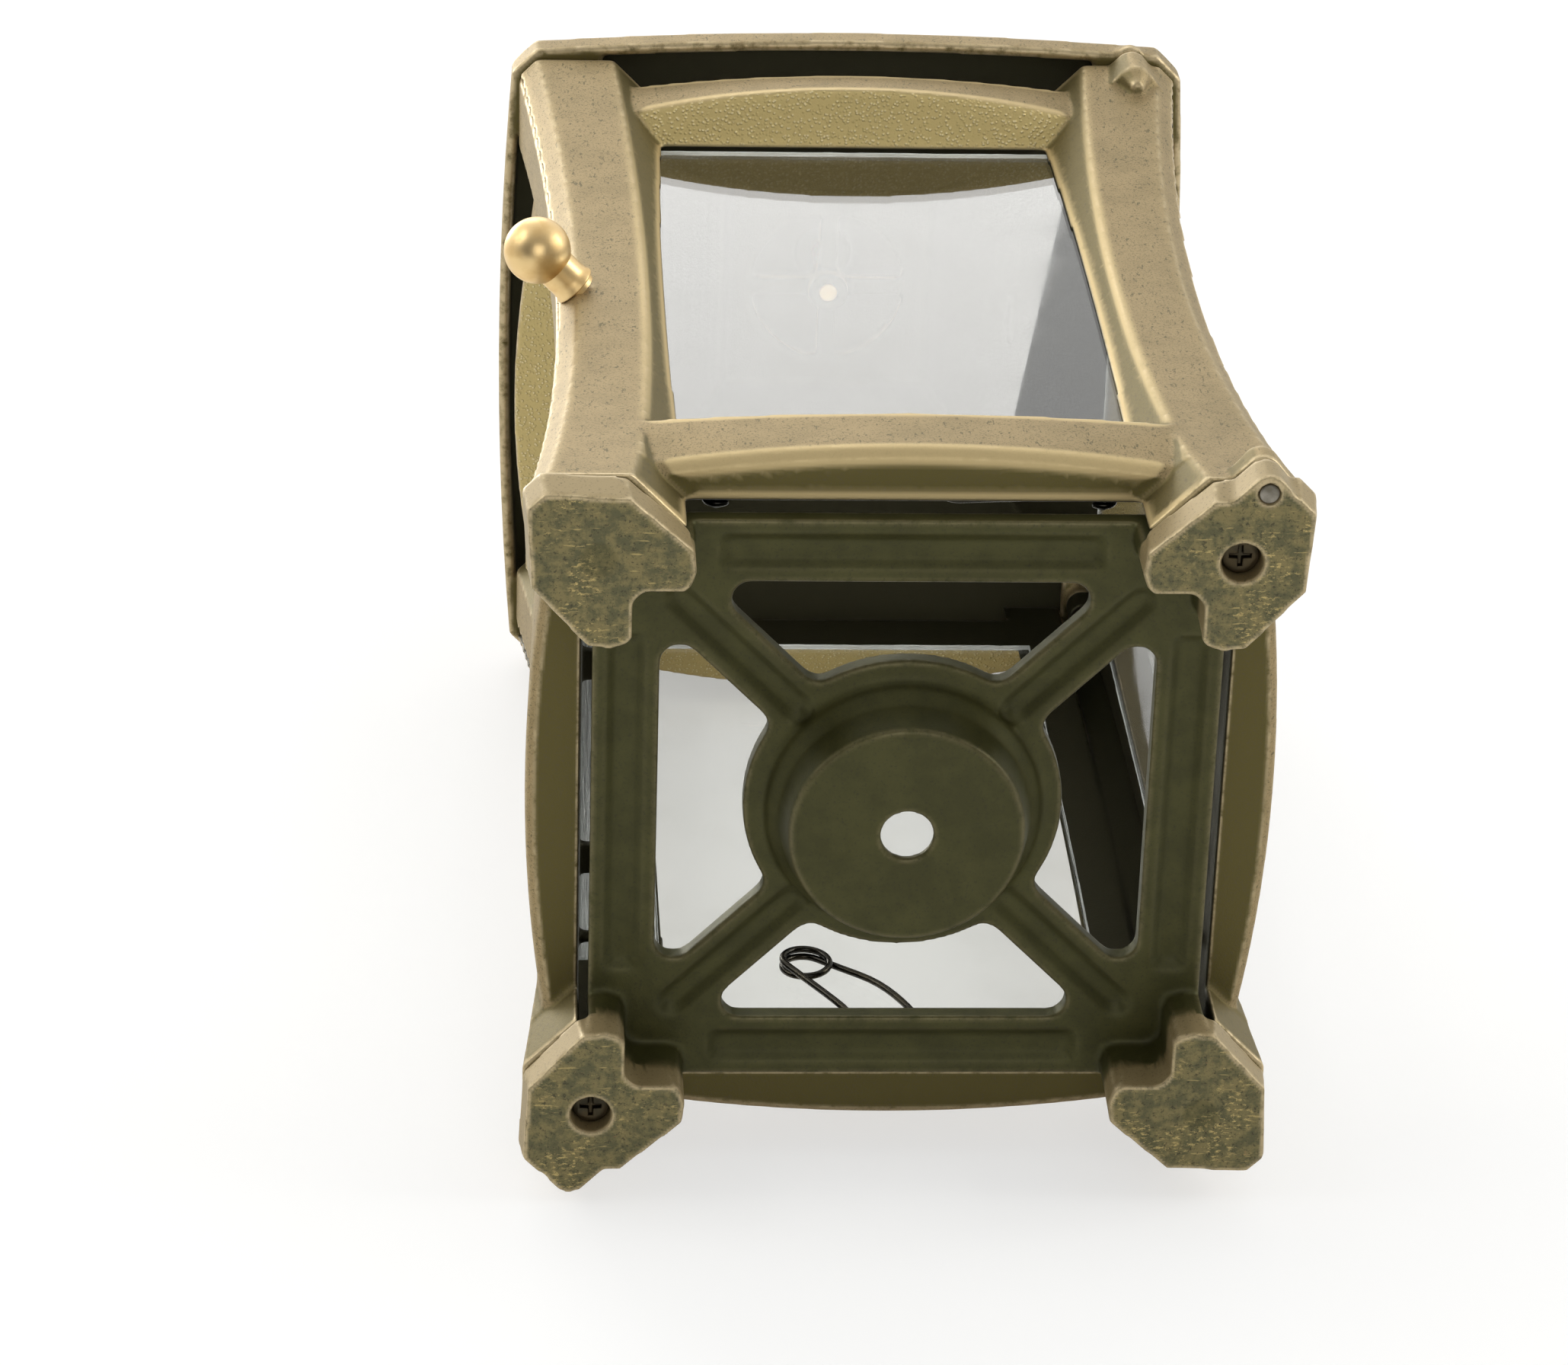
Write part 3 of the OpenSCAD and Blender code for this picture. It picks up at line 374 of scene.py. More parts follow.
@dataclass(frozen=True)
class BaseFinish:
    """The base casting's finish: dark underneath, bronze on the feet's sides, worn soles, and painted shade
    in its grooves.
    """

    name: str
    dark: Colour = (0.069, 0.066, 0.017)
    dark_mottle: Colour = (0.052, 0.05, 0.012)
    coat: Colour = (0.345, 0.265, 0.13)
    rubbed: Colour = (0.6, 0.48, 0.28)
    sole: Colour = (0.24, 0.2, 0.085)
    sole_dark: Colour = (0.12, 0.115, 0.055)
    brass: Colour = (0.58, 0.45, 0.18)
    rust: Colour = (0.36, 0.13, 0.07)
    # painted shade in the grooves
    hollow_shade: Colour = (0.012, 0.011, 0.006)
    fleck: Colour = (0.03, 0.028, 0.015)
    pit: Colour = (0.055, 0.052, 0.03)
    metal: float = 0.5
    rough: float = 0.5

    def material(self) -> bpy.types.Material:
        """Build the finish's material.

        Returns:
            The material.
        """
        g = Graph(self.name)
        clouds = g.span(g.noise(8 * MM, 5.0, 0.6), 0.35, 0.65)
        colour = g.blend(clouds, self.dark, self.dark_mottle)
        colour = g.blend(g.painted("outer"), colour, self.coat)
        worn_edges = g.span(g.noise(2.4 * MM, 4.0, 0.65), 0.2, 0.6)
        rub = g.maths("MULTIPLY", g.painted("rub"), worn_edges)
        # painted shade in the grooves and hollows
        colour = g.blend(g.painted("nook_shade"), colour, self.hollow_shade)
        share = g.maths("ADD", g.maths("MULTIPLY", g.painted("outer"), 0.88), 0.12)
        colour = g.blend(g.maths("MULTIPLY", rub, share), colour, self.rubbed)
        colour = g.blend(g.painted("sole"), colour, self.worn_sole(g, rub))
        grain = g.noise(0.5 * MM, 3.0, 0.65)
        colour = g.blend(g.span(grain, 0.55, 0.7, 0.45), colour, self.fleck)
        normal = g.bump(grain, 0.06 * MM, 0.6)
        scrapes = g.noise(1.4 * MM, 6.0, 0.75, (1.0, 1.7, 1.0))
        normal = g.bump(g.maths("MULTIPLY", g.painted("sole"), scrapes), 0.16 * MM, 0.6, normal)
        rough = g.add("ShaderNodeMapRange")
        rough.inputs["To Min"].default_value = self.rough
        rough.inputs["To Max"].default_value = self.rough - 0.14
        g.link(rub, rough.inputs["Value"])
        return g.finish(colour, rough.outputs["Result"], normal, self.metal)

    def worn_sole(self, g: Graph, rub: Socket) -> Socket:
        """Colour of the soles: dark mottled coat, scraped to brass and rust in places.

        Args:
            g: The material's graph.
            rub: How far the surface is rubbed, from 0 to 1.

        Returns:
            The colour.
        """
        mottle = g.span(g.noise(3.2 * MM, 6.0, 0.7), 0.4, 0.6)
        colour = g.blend(mottle, self.sole, self.sole_dark)
        where = g.span(g.noise(11 * MM, 3.0, 0.6), 0.48, 0.62)
        scrapes = g.span(g.noise(1.5 * MM, 6.0, 0.75, (1.0, 2.2, 1.0)), 0.53, 0.6)
        colour = g.blend(g.maths("MULTIPLY", where, scrapes), colour, self.brass)
        scratches = g.span(g.noise(0.8 * MM, 2.0, 0.5, (0.14, 1.0, 1.0)), 0.66, 0.72, 0.6)
        colour = g.blend(scratches, colour, self.brass)
        spots = g.span(g.noise(4.2 * MM, 3.0, 0.6), 0.66, 0.72, 0.6)
        colour = g.blend(g.maths("MULTIPLY", spots, scrapes), colour, self.rust)
        pits = g.span(g.noise(0.9 * MM, 4.0, 0.7), 0.56, 0.64, 0.8)
        colour = g.blend(pits, colour, self.pit)
        return g.blend(g.maths("MULTIPLY", rub, 0.9), colour, self.rubbed)


@dataclass(frozen=True)
class MetalFinish:
    """Plain metal with fine grain: gold bronze, steel, blackened steel or nickel."""

    name: str
    colour: Colour
    tarnish: Colour
    metal: float = 1.0
    rough: float = 0.35
    grain: float = 0.5 * MM
    grain_depth: float = 0.015 * MM

    def material(self) -> bpy.types.Material:
        """Build the finish's material.

        Returns:
            The material.
        """
        g = Graph(self.name)
        patches = g.span(g.noise(4 * MM, 4.0), 0.4, 0.7)
        colour = g.blend(patches, self.colour, self.tarnish)
        rough = g.add("ShaderNodeMapRange")
        rough.inputs["To Min"].default_value = self.rough - 0.05
        rough.inputs["To Max"].default_value = self.rough + 0.1
        g.link(patches, rough.inputs["Value"])
        normal = g.bump(g.noise(self.grain, 3.0, 0.6), self.grain_depth, 0.7)
        return g.finish(colour, rough.outputs["Result"], normal, self.metal)


@dataclass(frozen=True)
class GlassFinish:
    """Sheet glass with a little dust, clear on its faces or frosted on its cut edges."""

    name: str
    tint: Colour = (0.915, 0.92, 0.89)
    dust: Colour = (0.865, 0.87, 0.835)
    clear: float = 1.0
    rough: float = 0.01
    chips: float = 0.0

    def material(self) -> bpy.types.Material:
        """Build the finish's material.

        Returns:
            The material.
        """
        g = Graph(self.name)
        smears = g.span(g.noise(20 * MM, 4.0), 0.4, 0.75)
        colour = g.blend(smears, self.tint, self.dust)
        rough = g.add("ShaderNodeMapRange")
        rough.inputs["To Min"].default_value = self.rough
        rough.inputs["To Max"].default_value = self.rough + 0.03
        g.link(smears, rough.inputs["Value"])
        normal = g.bump(g.noise(60 * MM, 1.0), 0.004 * MM, 0.1)
        if self.chips:
            normal = g.bump(g.noise(0.9 * MM, 3.0, 0.7), self.chips, 0.9, normal)
        g.shader.inputs["Transmission Weight"].default_value = self.clear
        g.shader.inputs["IOR"].default_value = 1.5
        return g.finish(colour, rough.outputs["Result"], normal, 0.0)


BRONZE = CastFinish("antique_bronze")
# darker bronze for the bail, with its own painted shade in hollows
DARK_BRONZE = CastFinish(
    "dark_bronze", coat=(0.11, 0.095, 0.055), mottle=(0.08, 0.07, 0.042), rubbed=(0.3, 0.24, 0.13),
    hollow_shade=(0.05, 0.045, 0.025),
)
BASE = BaseFinish("base_bronze")
GOLD = MetalFinish("satin_gold_bronze", (0.86, 0.63, 0.31), (0.78, 0.55, 0.25), rough=0.4)
STEEL = MetalFinish("plain_steel", (0.3, 0.28, 0.24), (0.16, 0.145, 0.11), rough=0.42)
NICKEL = MetalFinish("nickel_plate", (0.66, 0.65, 0.62), (0.56, 0.55, 0.52), rough=0.22)
DARK_STEEL = MetalFinish("dark_rivet", (0.12, 0.1, 0.06), (0.08, 0.07, 0.045), rough=0.4)
BLACK_STEEL = MetalFinish("blackened_steel", (0.05, 0.044, 0.03), (0.09, 0.07, 0.04), rough=0.42)
WIRE = MetalFinish("blackened_wire", (0.035, 0.033, 0.028), (0.06, 0.052, 0.037), rough=0.24)
CLEAR = GlassFinish("clear_glass")
CUT = GlassFinish(
    "cut_glass_edge", tint=(0.93, 0.95, 0.93), dust=(0.8, 0.82, 0.8), clear=0.55, rough=0.22, chips=0.2 * MM
)


# ------------------------------------------------------------------------------ modelling


def deselect() -> None:
    """Leave object mode with nothing selected."""
    if bpy.context.object is not None and bpy.context.object.mode != "OBJECT":
        bpy.ops.object.mode_set(mode="OBJECT")
    bpy.ops.object.select_all(action="DESELECT")


def pick(piece: bpy.types.Object) -> None:
    """Select one piece alone and make it active.

    Args:
        piece: Mesh object.
    """
    deselect()
    piece.select_set(True)
    bpy.context.view_layer.objects.active = piece


def points_and_normals(piece: bpy.types.Object) -> tuple[np.ndarray, np.ndarray]:
    """Read a mesh's points and their normals.

    Args:
        piece: Mesh object at the origin.

    Returns:
        Two arrays of three columns.
    """
    mesh = piece.data
    places = np.empty(len(mesh.vertices) * 3)
    mesh.vertices.foreach_get("co", places)
    normals = np.empty(len(mesh.vertices) * 3)
    mesh.vertex_normals.foreach_get("vector", normals)
    return places.reshape(-1, 3), normals.reshape(-1, 3)


def paint(piece: bpy.types.Object, name: str, values: np.ndarray) -> None:
    """Store one value for each point of a mesh, for its material to read.

    Args:
        piece: Mesh object.
        name: Name of the attribute.
        values: One number for each point.
    """
    layer = piece.data.attributes.new(name, "FLOAT", "POINT")
    layer.data.foreach_set("value", np.clip(values, 0.0, 1.0).astype(np.float32))


def ramp(values: np.ndarray, low: float, high: float) -> np.ndarray:
    """Rise smoothly from 0 at low to 1 at high.

    Args:
        values: Numbers to map.
        low: Number that becomes 0.
        high: Number that becomes 1.

    Returns:
        Numbers from 0 to 1.
    """
    t = np.clip((values - low) / (high - low), 0.0, 1.0)
    return t * t * (3.0 - 2.0 * t)


def bending(piece: bpy.types.Object, spread: int) -> np.ndarray:
    """Measure how a mesh bends at each point: positive on edges, negative in nooks.

    Args:
        piece: Mesh object with points an even distance apart.
        spread: Rounds of averaging with the neighbours.

    Returns:
        Bend for each point, as one over a radius in metres.
    """
    places, normals = points_and_normals(piece)
    ends = np.empty(len(piece.data.edges) * 2, dtype=np.int64)
    piece.data.edges.foreach_get("vertices", ends)
    a, b = ends.reshape(-1, 2).T
    count = np.bincount(ends, minlength=len(places)).astype(float)
    along = places[b] - places[a]
    length = np.maximum((along**2).sum(axis=1), 1e-12)
    bend = np.bincount(a, -2 * (along * normals[a]).sum(axis=1) / length, len(places))
    bend += np.bincount(b, 2 * (along * normals[b]).sum(axis=1) / length, len(places))
    bend /= np.maximum(count, 1.0)
    for _ in range(spread):
        total = np.bincount(a, bend[b], len(places)) + np.bincount(b, bend[a], len(places))
        bend = (bend + total) / (1.0 + count)
    return bend


@dataclass
class Copied:
    """A piece that starts as a merged copy of its CAD node."""

    name: str
    node: str
    body: Body
    slot: Slot

    def build(self, frame: dict, material: bpy.types.Material) -> bpy.types.Object:
        """Copy the node, merge it, shape it and dress it.

        Args:
            frame: The loaded frame.
            material: Material to dress it in.

        Returns:
            The new piece.
        """
        source = frame["nodes"][self.node]
        piece = source.copy()
        piece.data = source.data.copy()
        piece.name = self.name
        piece.parent = None
        bpy.context.scene.collection.objects.link(piece)
        pick(piece)
        bpy.ops.object.mode_set(mode="EDIT")
        bpy.ops.mesh.select_all(action="SELECT")
        bpy.ops.mesh.remove_doubles(threshold=0.001 * MM)
        bpy.ops.object.mode_set(mode="OBJECT")
        self.shape(piece)
        piece.data.materials.clear()
        piece.data.materials.append(material)
        join(piece, self.body, self.slot, self.node)
        return piece

    def shape(self, piece: bpy.types.Object) -> None:
        """Finish the merged copy.

        Args:
            piece: Mesh object.
        """


@dataclass
class Casting(Copied):
    """A casting of the frame, with its edges softened as a mould leaves them."""

    grid: float = 0.5 * MM
    rounds: int = 6
    keep: float = 0.5
    # paint a highlight along the ridges
    ridge_highlights: bool = False
    masks: dict[str, Mask] = field(default_factory=dict)
    rub_bend: tuple[float, float] = (110.0, 480.0)
    ridge_bend: tuple[float, float] = (30.0, 130.0)
    ridge_spread: int = 12
    # bend that paints shade into nooks, and how dark that shade is
    nook_bend: tuple[float, float] = (150.0, 900.0)
    nook_strength: float = 0.6

    def shape(self, piece: bpy.types.Object) -> None:
        """Lay the piece on an even grid, round off its edges, paint it and thin it out.

        Args:
            piece: Mesh object.
        """
        remesh = piece.modifiers.new("grid", "REMESH")
        remesh.mode = "VOXEL"
        remesh.voxel_size = self.grid
        bpy.ops.object.modifier_apply(modifier=remesh.name)
        self.drop_specks(piece)
        smooth = piece.modifiers.new("soften", "SMOOTH")
        smooth.factor = 0.5
        smooth.iterations = self.rounds
        bpy.ops.object.modifier_apply(modifier=smooth.name)
        self.mark(piece)
        thin = piece.modifiers.new("thin", "DECIMATE")
        thin.ratio = self.keep
        bpy.ops.object.modifier_apply(modifier=thin.name)
        bpy.ops.object.shade_smooth()

    def drop_specks(self, piece: bpy.types.Object) -> None:
        """Delete the loose specks that the even grid leaves beside or inside the casting.

        Args:
            piece: Mesh object.
        """
        places, _ = points_and_normals(piece)
        bpy.ops.object.mode_set(mode="EDIT")
        bpy.ops.mesh.select_mode(type="VERT")
        bpy.ops.mesh.select_all(action="DESELECT")
        bpy.ops.object.mode_set(mode="OBJECT")
        piece.data.vertices[int(places[:, 2].argmin())].select = True
        bpy.ops.object.mode_set(mode="EDIT")
        bpy.ops.mesh.select_linked()
        bpy.ops.mesh.select_all(action="INVERT")
        bpy.ops.mesh.delete(type="VERT")
        bpy.ops.object.mode_set(mode="OBJECT")

    def mark(self, piece: bpy.types.Object) -> None:
        """Paint rubbed edges, a highlight along the ridges, shade in the nooks and the casting's own masks on
        the piece.

        Args:
            piece: Mesh object.
        """
        bend = bending(piece, 2)
        paint(piece, "rub", ramp(bend, *self.rub_bend))
        # painted highlight along the ridges
        if self.ridge_highlights:
            paint(piece, "ridge", ramp(bending(piece, self.ridge_spread), *self.ridge_bend))
        # painted shade in nooks
        paint(piece, "nook_shade", ramp(-bend, *self.nook_bend) * self.nook_strength)
        places, normals = points_and_normals(piece)
        for name, mask in self.masks.items():
            paint(piece, name, mask(places / MM, normals))


@dataclass
class Wire(Copied):
    """A bent wire, rounded from its coarse copy."""

    def shape(self, piece: bpy.types.Object) -> None:
        """Subdivide the wire until it is round.

        Args:
            piece: Mesh object.
        """
        bpy.ops.object.mode_set(mode="EDIT")
        bpy.ops.mesh.select_all(action="SELECT")
        bpy.ops.mesh.tris_convert_to_quads()
        bpy.ops.object.mode_set(mode="OBJECT")
        finer = piece.modifiers.new("finer", "SUBSURF")
        finer.levels = finer.render_levels = 1
        bpy.ops.object.modifier_apply(modifier=finer.name)
        bpy.ops.object.shade_smooth()


@dataclass
class Machined(Copied):
    """A pin, screw or disc with its sharp edges broken."""

    chamfer: float = 0.2 * MM

    def shape(self, piece: bpy.types.Object) -> None:
        """Clean the flat faces and bevel the sharp edges.

        Args:
            piece: Mesh object.
        """
        bpy.ops.object.mode_set(mode="EDIT")
        bpy.ops.mesh.select_all(action="SELECT")
        bpy.ops.mesh.dissolve_limited(angle_limit=math.radians(1.0))
        bpy.ops.object.mode_set(mode="OBJECT")
        bevel = piece.modifiers.new("chamfer", "BEVEL")
        bevel.width = self.chamfer
        bevel.segments = 2
        bevel.limit_method = "ANGLE"
        bevel.angle_limit = math.radians(40.0)
        bpy.ops.object.modifier_apply(modifier=bevel.name)
        bpy.ops.object.shade_smooth_by_angle(angle=math.radians(35.0))


def join(piece: bpy.types.Object, body: Body, slot: Slot, *nodes: str) -> None:
    """Attach a piece to the body it rides on and hide the CAD nodes that it stands for.

    Args:
        piece: Mesh object.
        body: Body that the piece rides on.
        slot: Material slot that it takes its finish from; not used.
        *nodes: CAD nodes that it stands for.
    """
    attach(piece, body.value)
    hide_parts(*nodes)


def settle(piece: bpy.types.Object) -> None:
    """Put a piece's place and turn into its mesh.

    Args:
        piece: Mesh object.
    """
    pick(piece)
    bpy.ops.object.transform_apply(location=True, rotation=True, scale=True)


def turned(name: str, profile: list[tuple[float, float]], facets: int = 72) -> bpy.types.Object:
    """Turn a closed piece about Z from its profile.

    Args:
        name: Name of the piece.
        profile: Radius and height of each step in metres, from the bottom up.
        facets: Facets round the piece.

    Returns:
        The new object, standing at the origin.
    """
    deselect()
    radius, height = profile[0]
    middle = (0.0, 0.0, height)
    bpy.ops.mesh.primitive_circle_add(vertices=facets, radius=radius, location=middle, fill_type="NGON")
    piece = bpy.context.object
    piece.name = name
    settle(piece)
    bpy.ops.object.mode_set(mode="EDIT")
    bpy.ops.mesh.select_all(action="SELECT")
    for new_radius, new_height in profile[1:]:
        bpy.ops.mesh.extrude_region_move(TRANSFORM_OT_translate={"value": (0.0, 0.0, new_height - height)})
        factor = new_radius / radius
        bpy.ops.transform.resize(value=(factor, factor, 1.0), center_override=(0.0, 0.0, new_height))
        radius, height = new_radius, new_height
    bpy.ops.mesh.select_all(action="SELECT")
    bpy.ops.mesh.normals_make_consistent(inside=False)
    bpy.ops.object.mode_set(mode="OBJECT")
    bpy.ops.object.shade_smooth_by_angle(angle=math.radians(32.0))
    return piece


def arc(radius: float, centre: float, start: float, stop: float, steps: int) -> list[tuple[float, float]]:
    """Points of a turned ball's profile.

    Args:
        radius: Radius of the ball.
        centre: Height of its middle.
        start: First angle above level, in degrees.
        stop: Last angle above level, in degrees.
        steps: Spaces between the points.

    Returns:
        Radius and height of each point.
    """
    angles = (math.radians(start + (stop - start) * i / steps) for i in range(steps + 1))
    return [(radius * math.cos(a), centre + radius * math.sin(a)) for a in angles]


# ------------------------------------------------------------------------------ stage


@dataclass(frozen=True)
class Camera:
    """Long lens that looks at the lantern's underside and door."""

    place: Point = (-0.07251, -0.42482, -0.78327)
    pitch: float = math.radians(26.6)
    yaw: float = math.radians(-3.22)
    roll: float = math.radians(0.23)
    lens: float = 115.07

    def build(self) -> bpy.types.Object:
        """Add the camera and make it the scene's own.

        Returns:
            The camera object.
        """
        forward = Vector((0.0, math.sin(self.pitch), math.cos(self.pitch)))
        right = Vector((1.0, 0.0, 0.0))
        up = right.cross(forward)
        axes = Matrix((right, up, -forward)).transposed()
        turned = axes @ Matrix.Rotation(self.yaw, 3, "Y") @ Matrix.Rotation(self.roll, 3, "Z")
        data = bpy.data.cameras.new("camera")
        data.lens = self.lens
        data.sensor_width = 36.0
        data.sensor_fit = "HORIZONTAL"
        data.clip_start = 0.01
        camera = bpy.data.objects.new("camera", data)
        camera.matrix_world = Matrix.Translation(self.place) @ turned.to_4x4()
        bpy.context.scene.collection.objects.link(camera)
        bpy.context.scene.camera = camera
        return camera


@dataclass(frozen=True)
class Softbox:
    """Square lamp that faces the lantern."""

    name: str
    direction: Point
    distance: float
    size: float
    watts: float
    colour: Colour = (1.0, 0.985, 0.96)

    def build(self) -> bpy.types.Object:
        """Add the lamp.

        Returns:
            The lamp object.
        """
        data = bpy.data.lights.new(self.name, "AREA")
        data.size = self.size
        data.energy = self.watts
        data.color = self.colour
        lamp = bpy.data.objects.new(self.name, data)
        middle = Vector((0.0, 0.0, 0.11))
        way = Vector(self.direction).normalized()
        lamp.location = middle + way * self.distance
        lamp.rotation_euler = way.to_track_quat("Z", "Y").to_euler()
        lamp.visible_camera = False
        bpy.context.scene.collection.objects.link(lamp)
        return lamp


@dataclass(frozen=True)
class Stage:
    """Pale floor under the lantern's back, a plain surround and the lamps."""

    floor_y: float = 0.07385
    floor_z: float = 0.22
    floor_size: float = 8.0
    tilt: float = math.radians(0.2)
    floor_colour: Colour = (0.9, 0.9, 0.885)
    floor_stain: Colour = (0.86, 0.86, 0.845)
    floor_shade: Colour = (0.42, 0.42, 0.412)
    floor_glow: float = 0.6
    surround: tuple[float, float] = (0.1, 1.0)
    lamps: tuple[Softbox, ...] = (
        Softbox("key_left", (-0.75, -0.65, 0.05), 1.3, 0.7, 3.3),
        Softbox("key_right", (0.84, -0.52, 0.0), 1.3, 0.6, 4.8),
        Softbox("overhead", (-0.127, -0.47, 0.87), 1.3, 0.62, 2.2),
        Softbox("back_left", (-0.5, -0.14, 0.85), 1.2, 0.5, 4.6),
        Softbox("near", (0.05, -0.42, -0.91), 1.3, 0.75, 3.0),
        Softbox("behind", (-0.35, 1.0, 0.2), 1.6, 1.2, 6.0),
    )

    def build(self) -> None:
        """Add the floor, the surround and the lamps."""
        deselect()
        middle = (0.0, self.floor_y, self.floor_z)
        upright = (math.pi / 2 + self.tilt, 0.0, 0.0)
        bpy.ops.mesh.primitive_plane_add(size=self.floor_size, location=middle, rotation=upright)
        floor = bpy.context.object
        floor.name = "floor"
        floor.data.materials.append(self.floor_material())
        floor.visible_shadow = False
        for lamp in self.lamps:
            lamp.build()
        self.light_surround()

    def floor_material(self) -> bpy.types.Material:
        """White floor that keeps its shadows and can't be seen from below.

        Returns:
            The material.
        """
        g = Graph("floor")
        g.shader.inputs["Roughness"].default_value = 0.9
        glow = g.add("ShaderNodeEmission")
        lit = g.add("ShaderNodeAddShader")
        path = g.add("ShaderNodeLightPath")
        eye = g.maths("MAXIMUM", path.outputs["Is Camera Ray"], path.outputs["Is Transmission Ray"])
        g.link(g.maths("MULTIPLY", eye, self.floor_glow), glow.inputs["Strength"])
        stains = g.span(g.noise(0.3, 3.0), 0.3, 0.8, 0.3)
        paper = g.blend(stains, self.floor_colour, self.floor_stain)
        g.link(g.blend(eye, paper, self.floor_shade), g.shader.inputs["Base Color"])
        g.link(g.shader.outputs[0], lit.inputs[0])
        g.link(glow.outputs[0], lit.inputs[1])
        clear = g.add("ShaderNodeBsdfTransparent")
        sides = g.add("ShaderNodeMixShader")
        geometry = g.add("ShaderNodeNewGeometry")
        g.link(geometry.outputs["Backfacing"], sides.inputs[0])
        g.link(lit.outputs[0], sides.inputs[1])
        g.link(clear.outputs[0], sides.inputs[2])
        g.link(sides.outputs[0], g.output.inputs["Surface"])
        return g.material

    def light_surround(self) -> None:
        """White to the eye and through glass; a soft light, dim from below, on everything else."""
        world = bpy.data.worlds.new("surround")
        bpy.context.scene.world = world
        world.use_nodes = True
        tree = world.node_tree
        back = tree.nodes["Background"]
        back.inputs["Color"].default_value = (1.0, 1.0, 1.0, 1.0)
        path = tree.nodes.new("ShaderNodeLightPath")
        seen = tree.nodes.new("ShaderNodeMath")
        seen.operation = "MAXIMUM"
        tree.links.new(path.outputs["Is Camera Ray"], seen.inputs[0])
        tree.links.new(path.outputs["Is Transmission Ray"], seen.inputs[1])
        coords = tree.nodes.new("ShaderNodeTexCoord")
        axes = tree.nodes.new("ShaderNodeSeparateXYZ")
        tree.links.new(coords.outputs["Generated"], axes.inputs[0])
        fall = tree.nodes.new("ShaderNodeMapRange")
        fall.interpolation_type = "SMOOTHSTEP"
        for socket, number in zip(("From Min", "From Max", "To Min", "To Max"), (-0.9, 0.6, *self.surround)):
            fall.inputs[socket].default_value = number
        tree.links.new(axes.outputs["Z"], fall.inputs["Value"])
        level = tree.nodes.new("ShaderNodeMix")
        tree.links.new(seen.outputs[0], level.inputs["Factor"])
        tree.links.new(fall.outputs["Result"], level.inputs["A"])
        level.inputs["B"].default_value = 1.0
        tree.links.new(level.outputs["Result"], back.inputs["Strength"])


# ------------------------------------------------------------------------------ the lantern


def outward(turn: int) -> np.ndarray:
    """Give the way a frame faces, from its quarter turns about Z, counted from the front.

    Args:
        turn: Quarter turns of the frame about Z, counted from the front.

    Returns:
        Vector of length 1.
    """
    angle = turn * math.pi / 2
    return np.array((math.sin(angle), -math.cos(angle), 0.0))


def hammered_facet(turn: int) -> Mask:
    """Mark the down-facing facet of one frame's top rail, which is hammered and painted lighter, with painted
    glints.

    Args:
        turn: Quarter turns of the frame about Z, counted from the front.

    Returns:
        A mask from points in millimetres and normals.
    """

    def mask(places: np.ndarray, normals: np.ndarray) -> np.ndarray:
        """Facet between the window's top and the rail's ridge.

        Args:
            places: Points in millimetres, one a row.
            normals: Their normals, one a row.

        Returns:
            One number for each point, from 0 to 1.
        """
        reach = places @ outward(turn)
        level = places[:, 2]
        down = ramp(-normals[:, 2], 0.55, 0.85)
        above_window, below_ridge = ramp(level, 192.0, 194.5), ramp(-level, -202.5, -200.5)
        return down * above_window * below_ridge * ramp(reach, 58.6, 59.6)

    return mask


def inner_shade(turn: int) -> Mask:
    """Mark the painted shade on the back of one frame.

    Args:
        turn: Quarter turns of the frame about Z, counted from the front.

    Returns:
        A mask from points in millimetres and normals.
    """

    def mask(places: np.ndarray, normals: np.ndarray) -> np.ndarray:
        """Faces that look into the lantern, what stands on the back, and the right frame's ends, which all
        get painted shade, the ends as shade in the gap beside the door.

        Args:
            places: Points in millimetres, one a row.
            normals: Their normals, one a row.

        Returns:
            One number for each point, from 0 to 1.
        """
        behind = ramp(-(places @ outward(turn)), -59.0, -58.5)
        behind = np.maximum(behind, ramp(-(normals @ outward(turn)), 0.3, 0.6))
        if turn != 1:
            return behind
        ends = ramp(np.abs(places[:, 1]), 54.5, 56.0) * ramp(np.abs(normals[:, 1]), 0.4, 0.7)
        return np.maximum(behind, ends)

    return mask


def across(turn: int) -> np.ndarray:
    """Give the way along a frame's rails, level and at right angles to the way it faces.

    Args:
        turn: Quarter turns of the frame about Z, counted from the front.

    Returns:
        Vector of length 1.
    """
    return np.array((math.cos(turn * math.pi / 2), math.sin(turn * math.pi / 2), 0.0))


def window_slope(turn: int) -> Mask:
    """Mark painted shade on the slopes of one frame's stiles, which lead in to its window.

    Args:
        turn: Quarter turns of the frame about Z, counted from the front.

    Returns:
        A mask from points in millimetres and normals.
    """

    def mask(places: np.ndarray, normals: np.ndarray) -> np.ndarray:
        """Faces that lean towards the middle of the window.

        Args:
            places: Points in millimetres, one a row.
            normals: Their normals, one a row.

        Returns:
            One number for each point, from 0 to 1.
        """
        side = places @ across(turn)
        lean = -(normals @ across(turn)) * np.sign(side)
        return ramp(lean, 0.25, 0.5) * ramp(np.abs(side), 38.0, 40.0)

    return mask


def rails(turn: int) -> Mask:
    """Mark the top and bottom rails of one frame, where the painted ridge highlight is stronger.

    Args:
        turn: Quarter turns of the frame about Z, counted from the front.

    Returns:
        A mask from points in millimetres and normals.
    """

    def mask(places: np.ndarray, normals: np.ndarray) -> np.ndarray:
        """Everything between the stiles.

        Args:
            places: Points in millimetres, one a row.
            normals: Their normals, one a row.

        Returns:
            One number for each point, from 0 to 1.
        """
        return ramp(-np.abs(places @ across(turn)), -50.0, -44.0)

    return mask


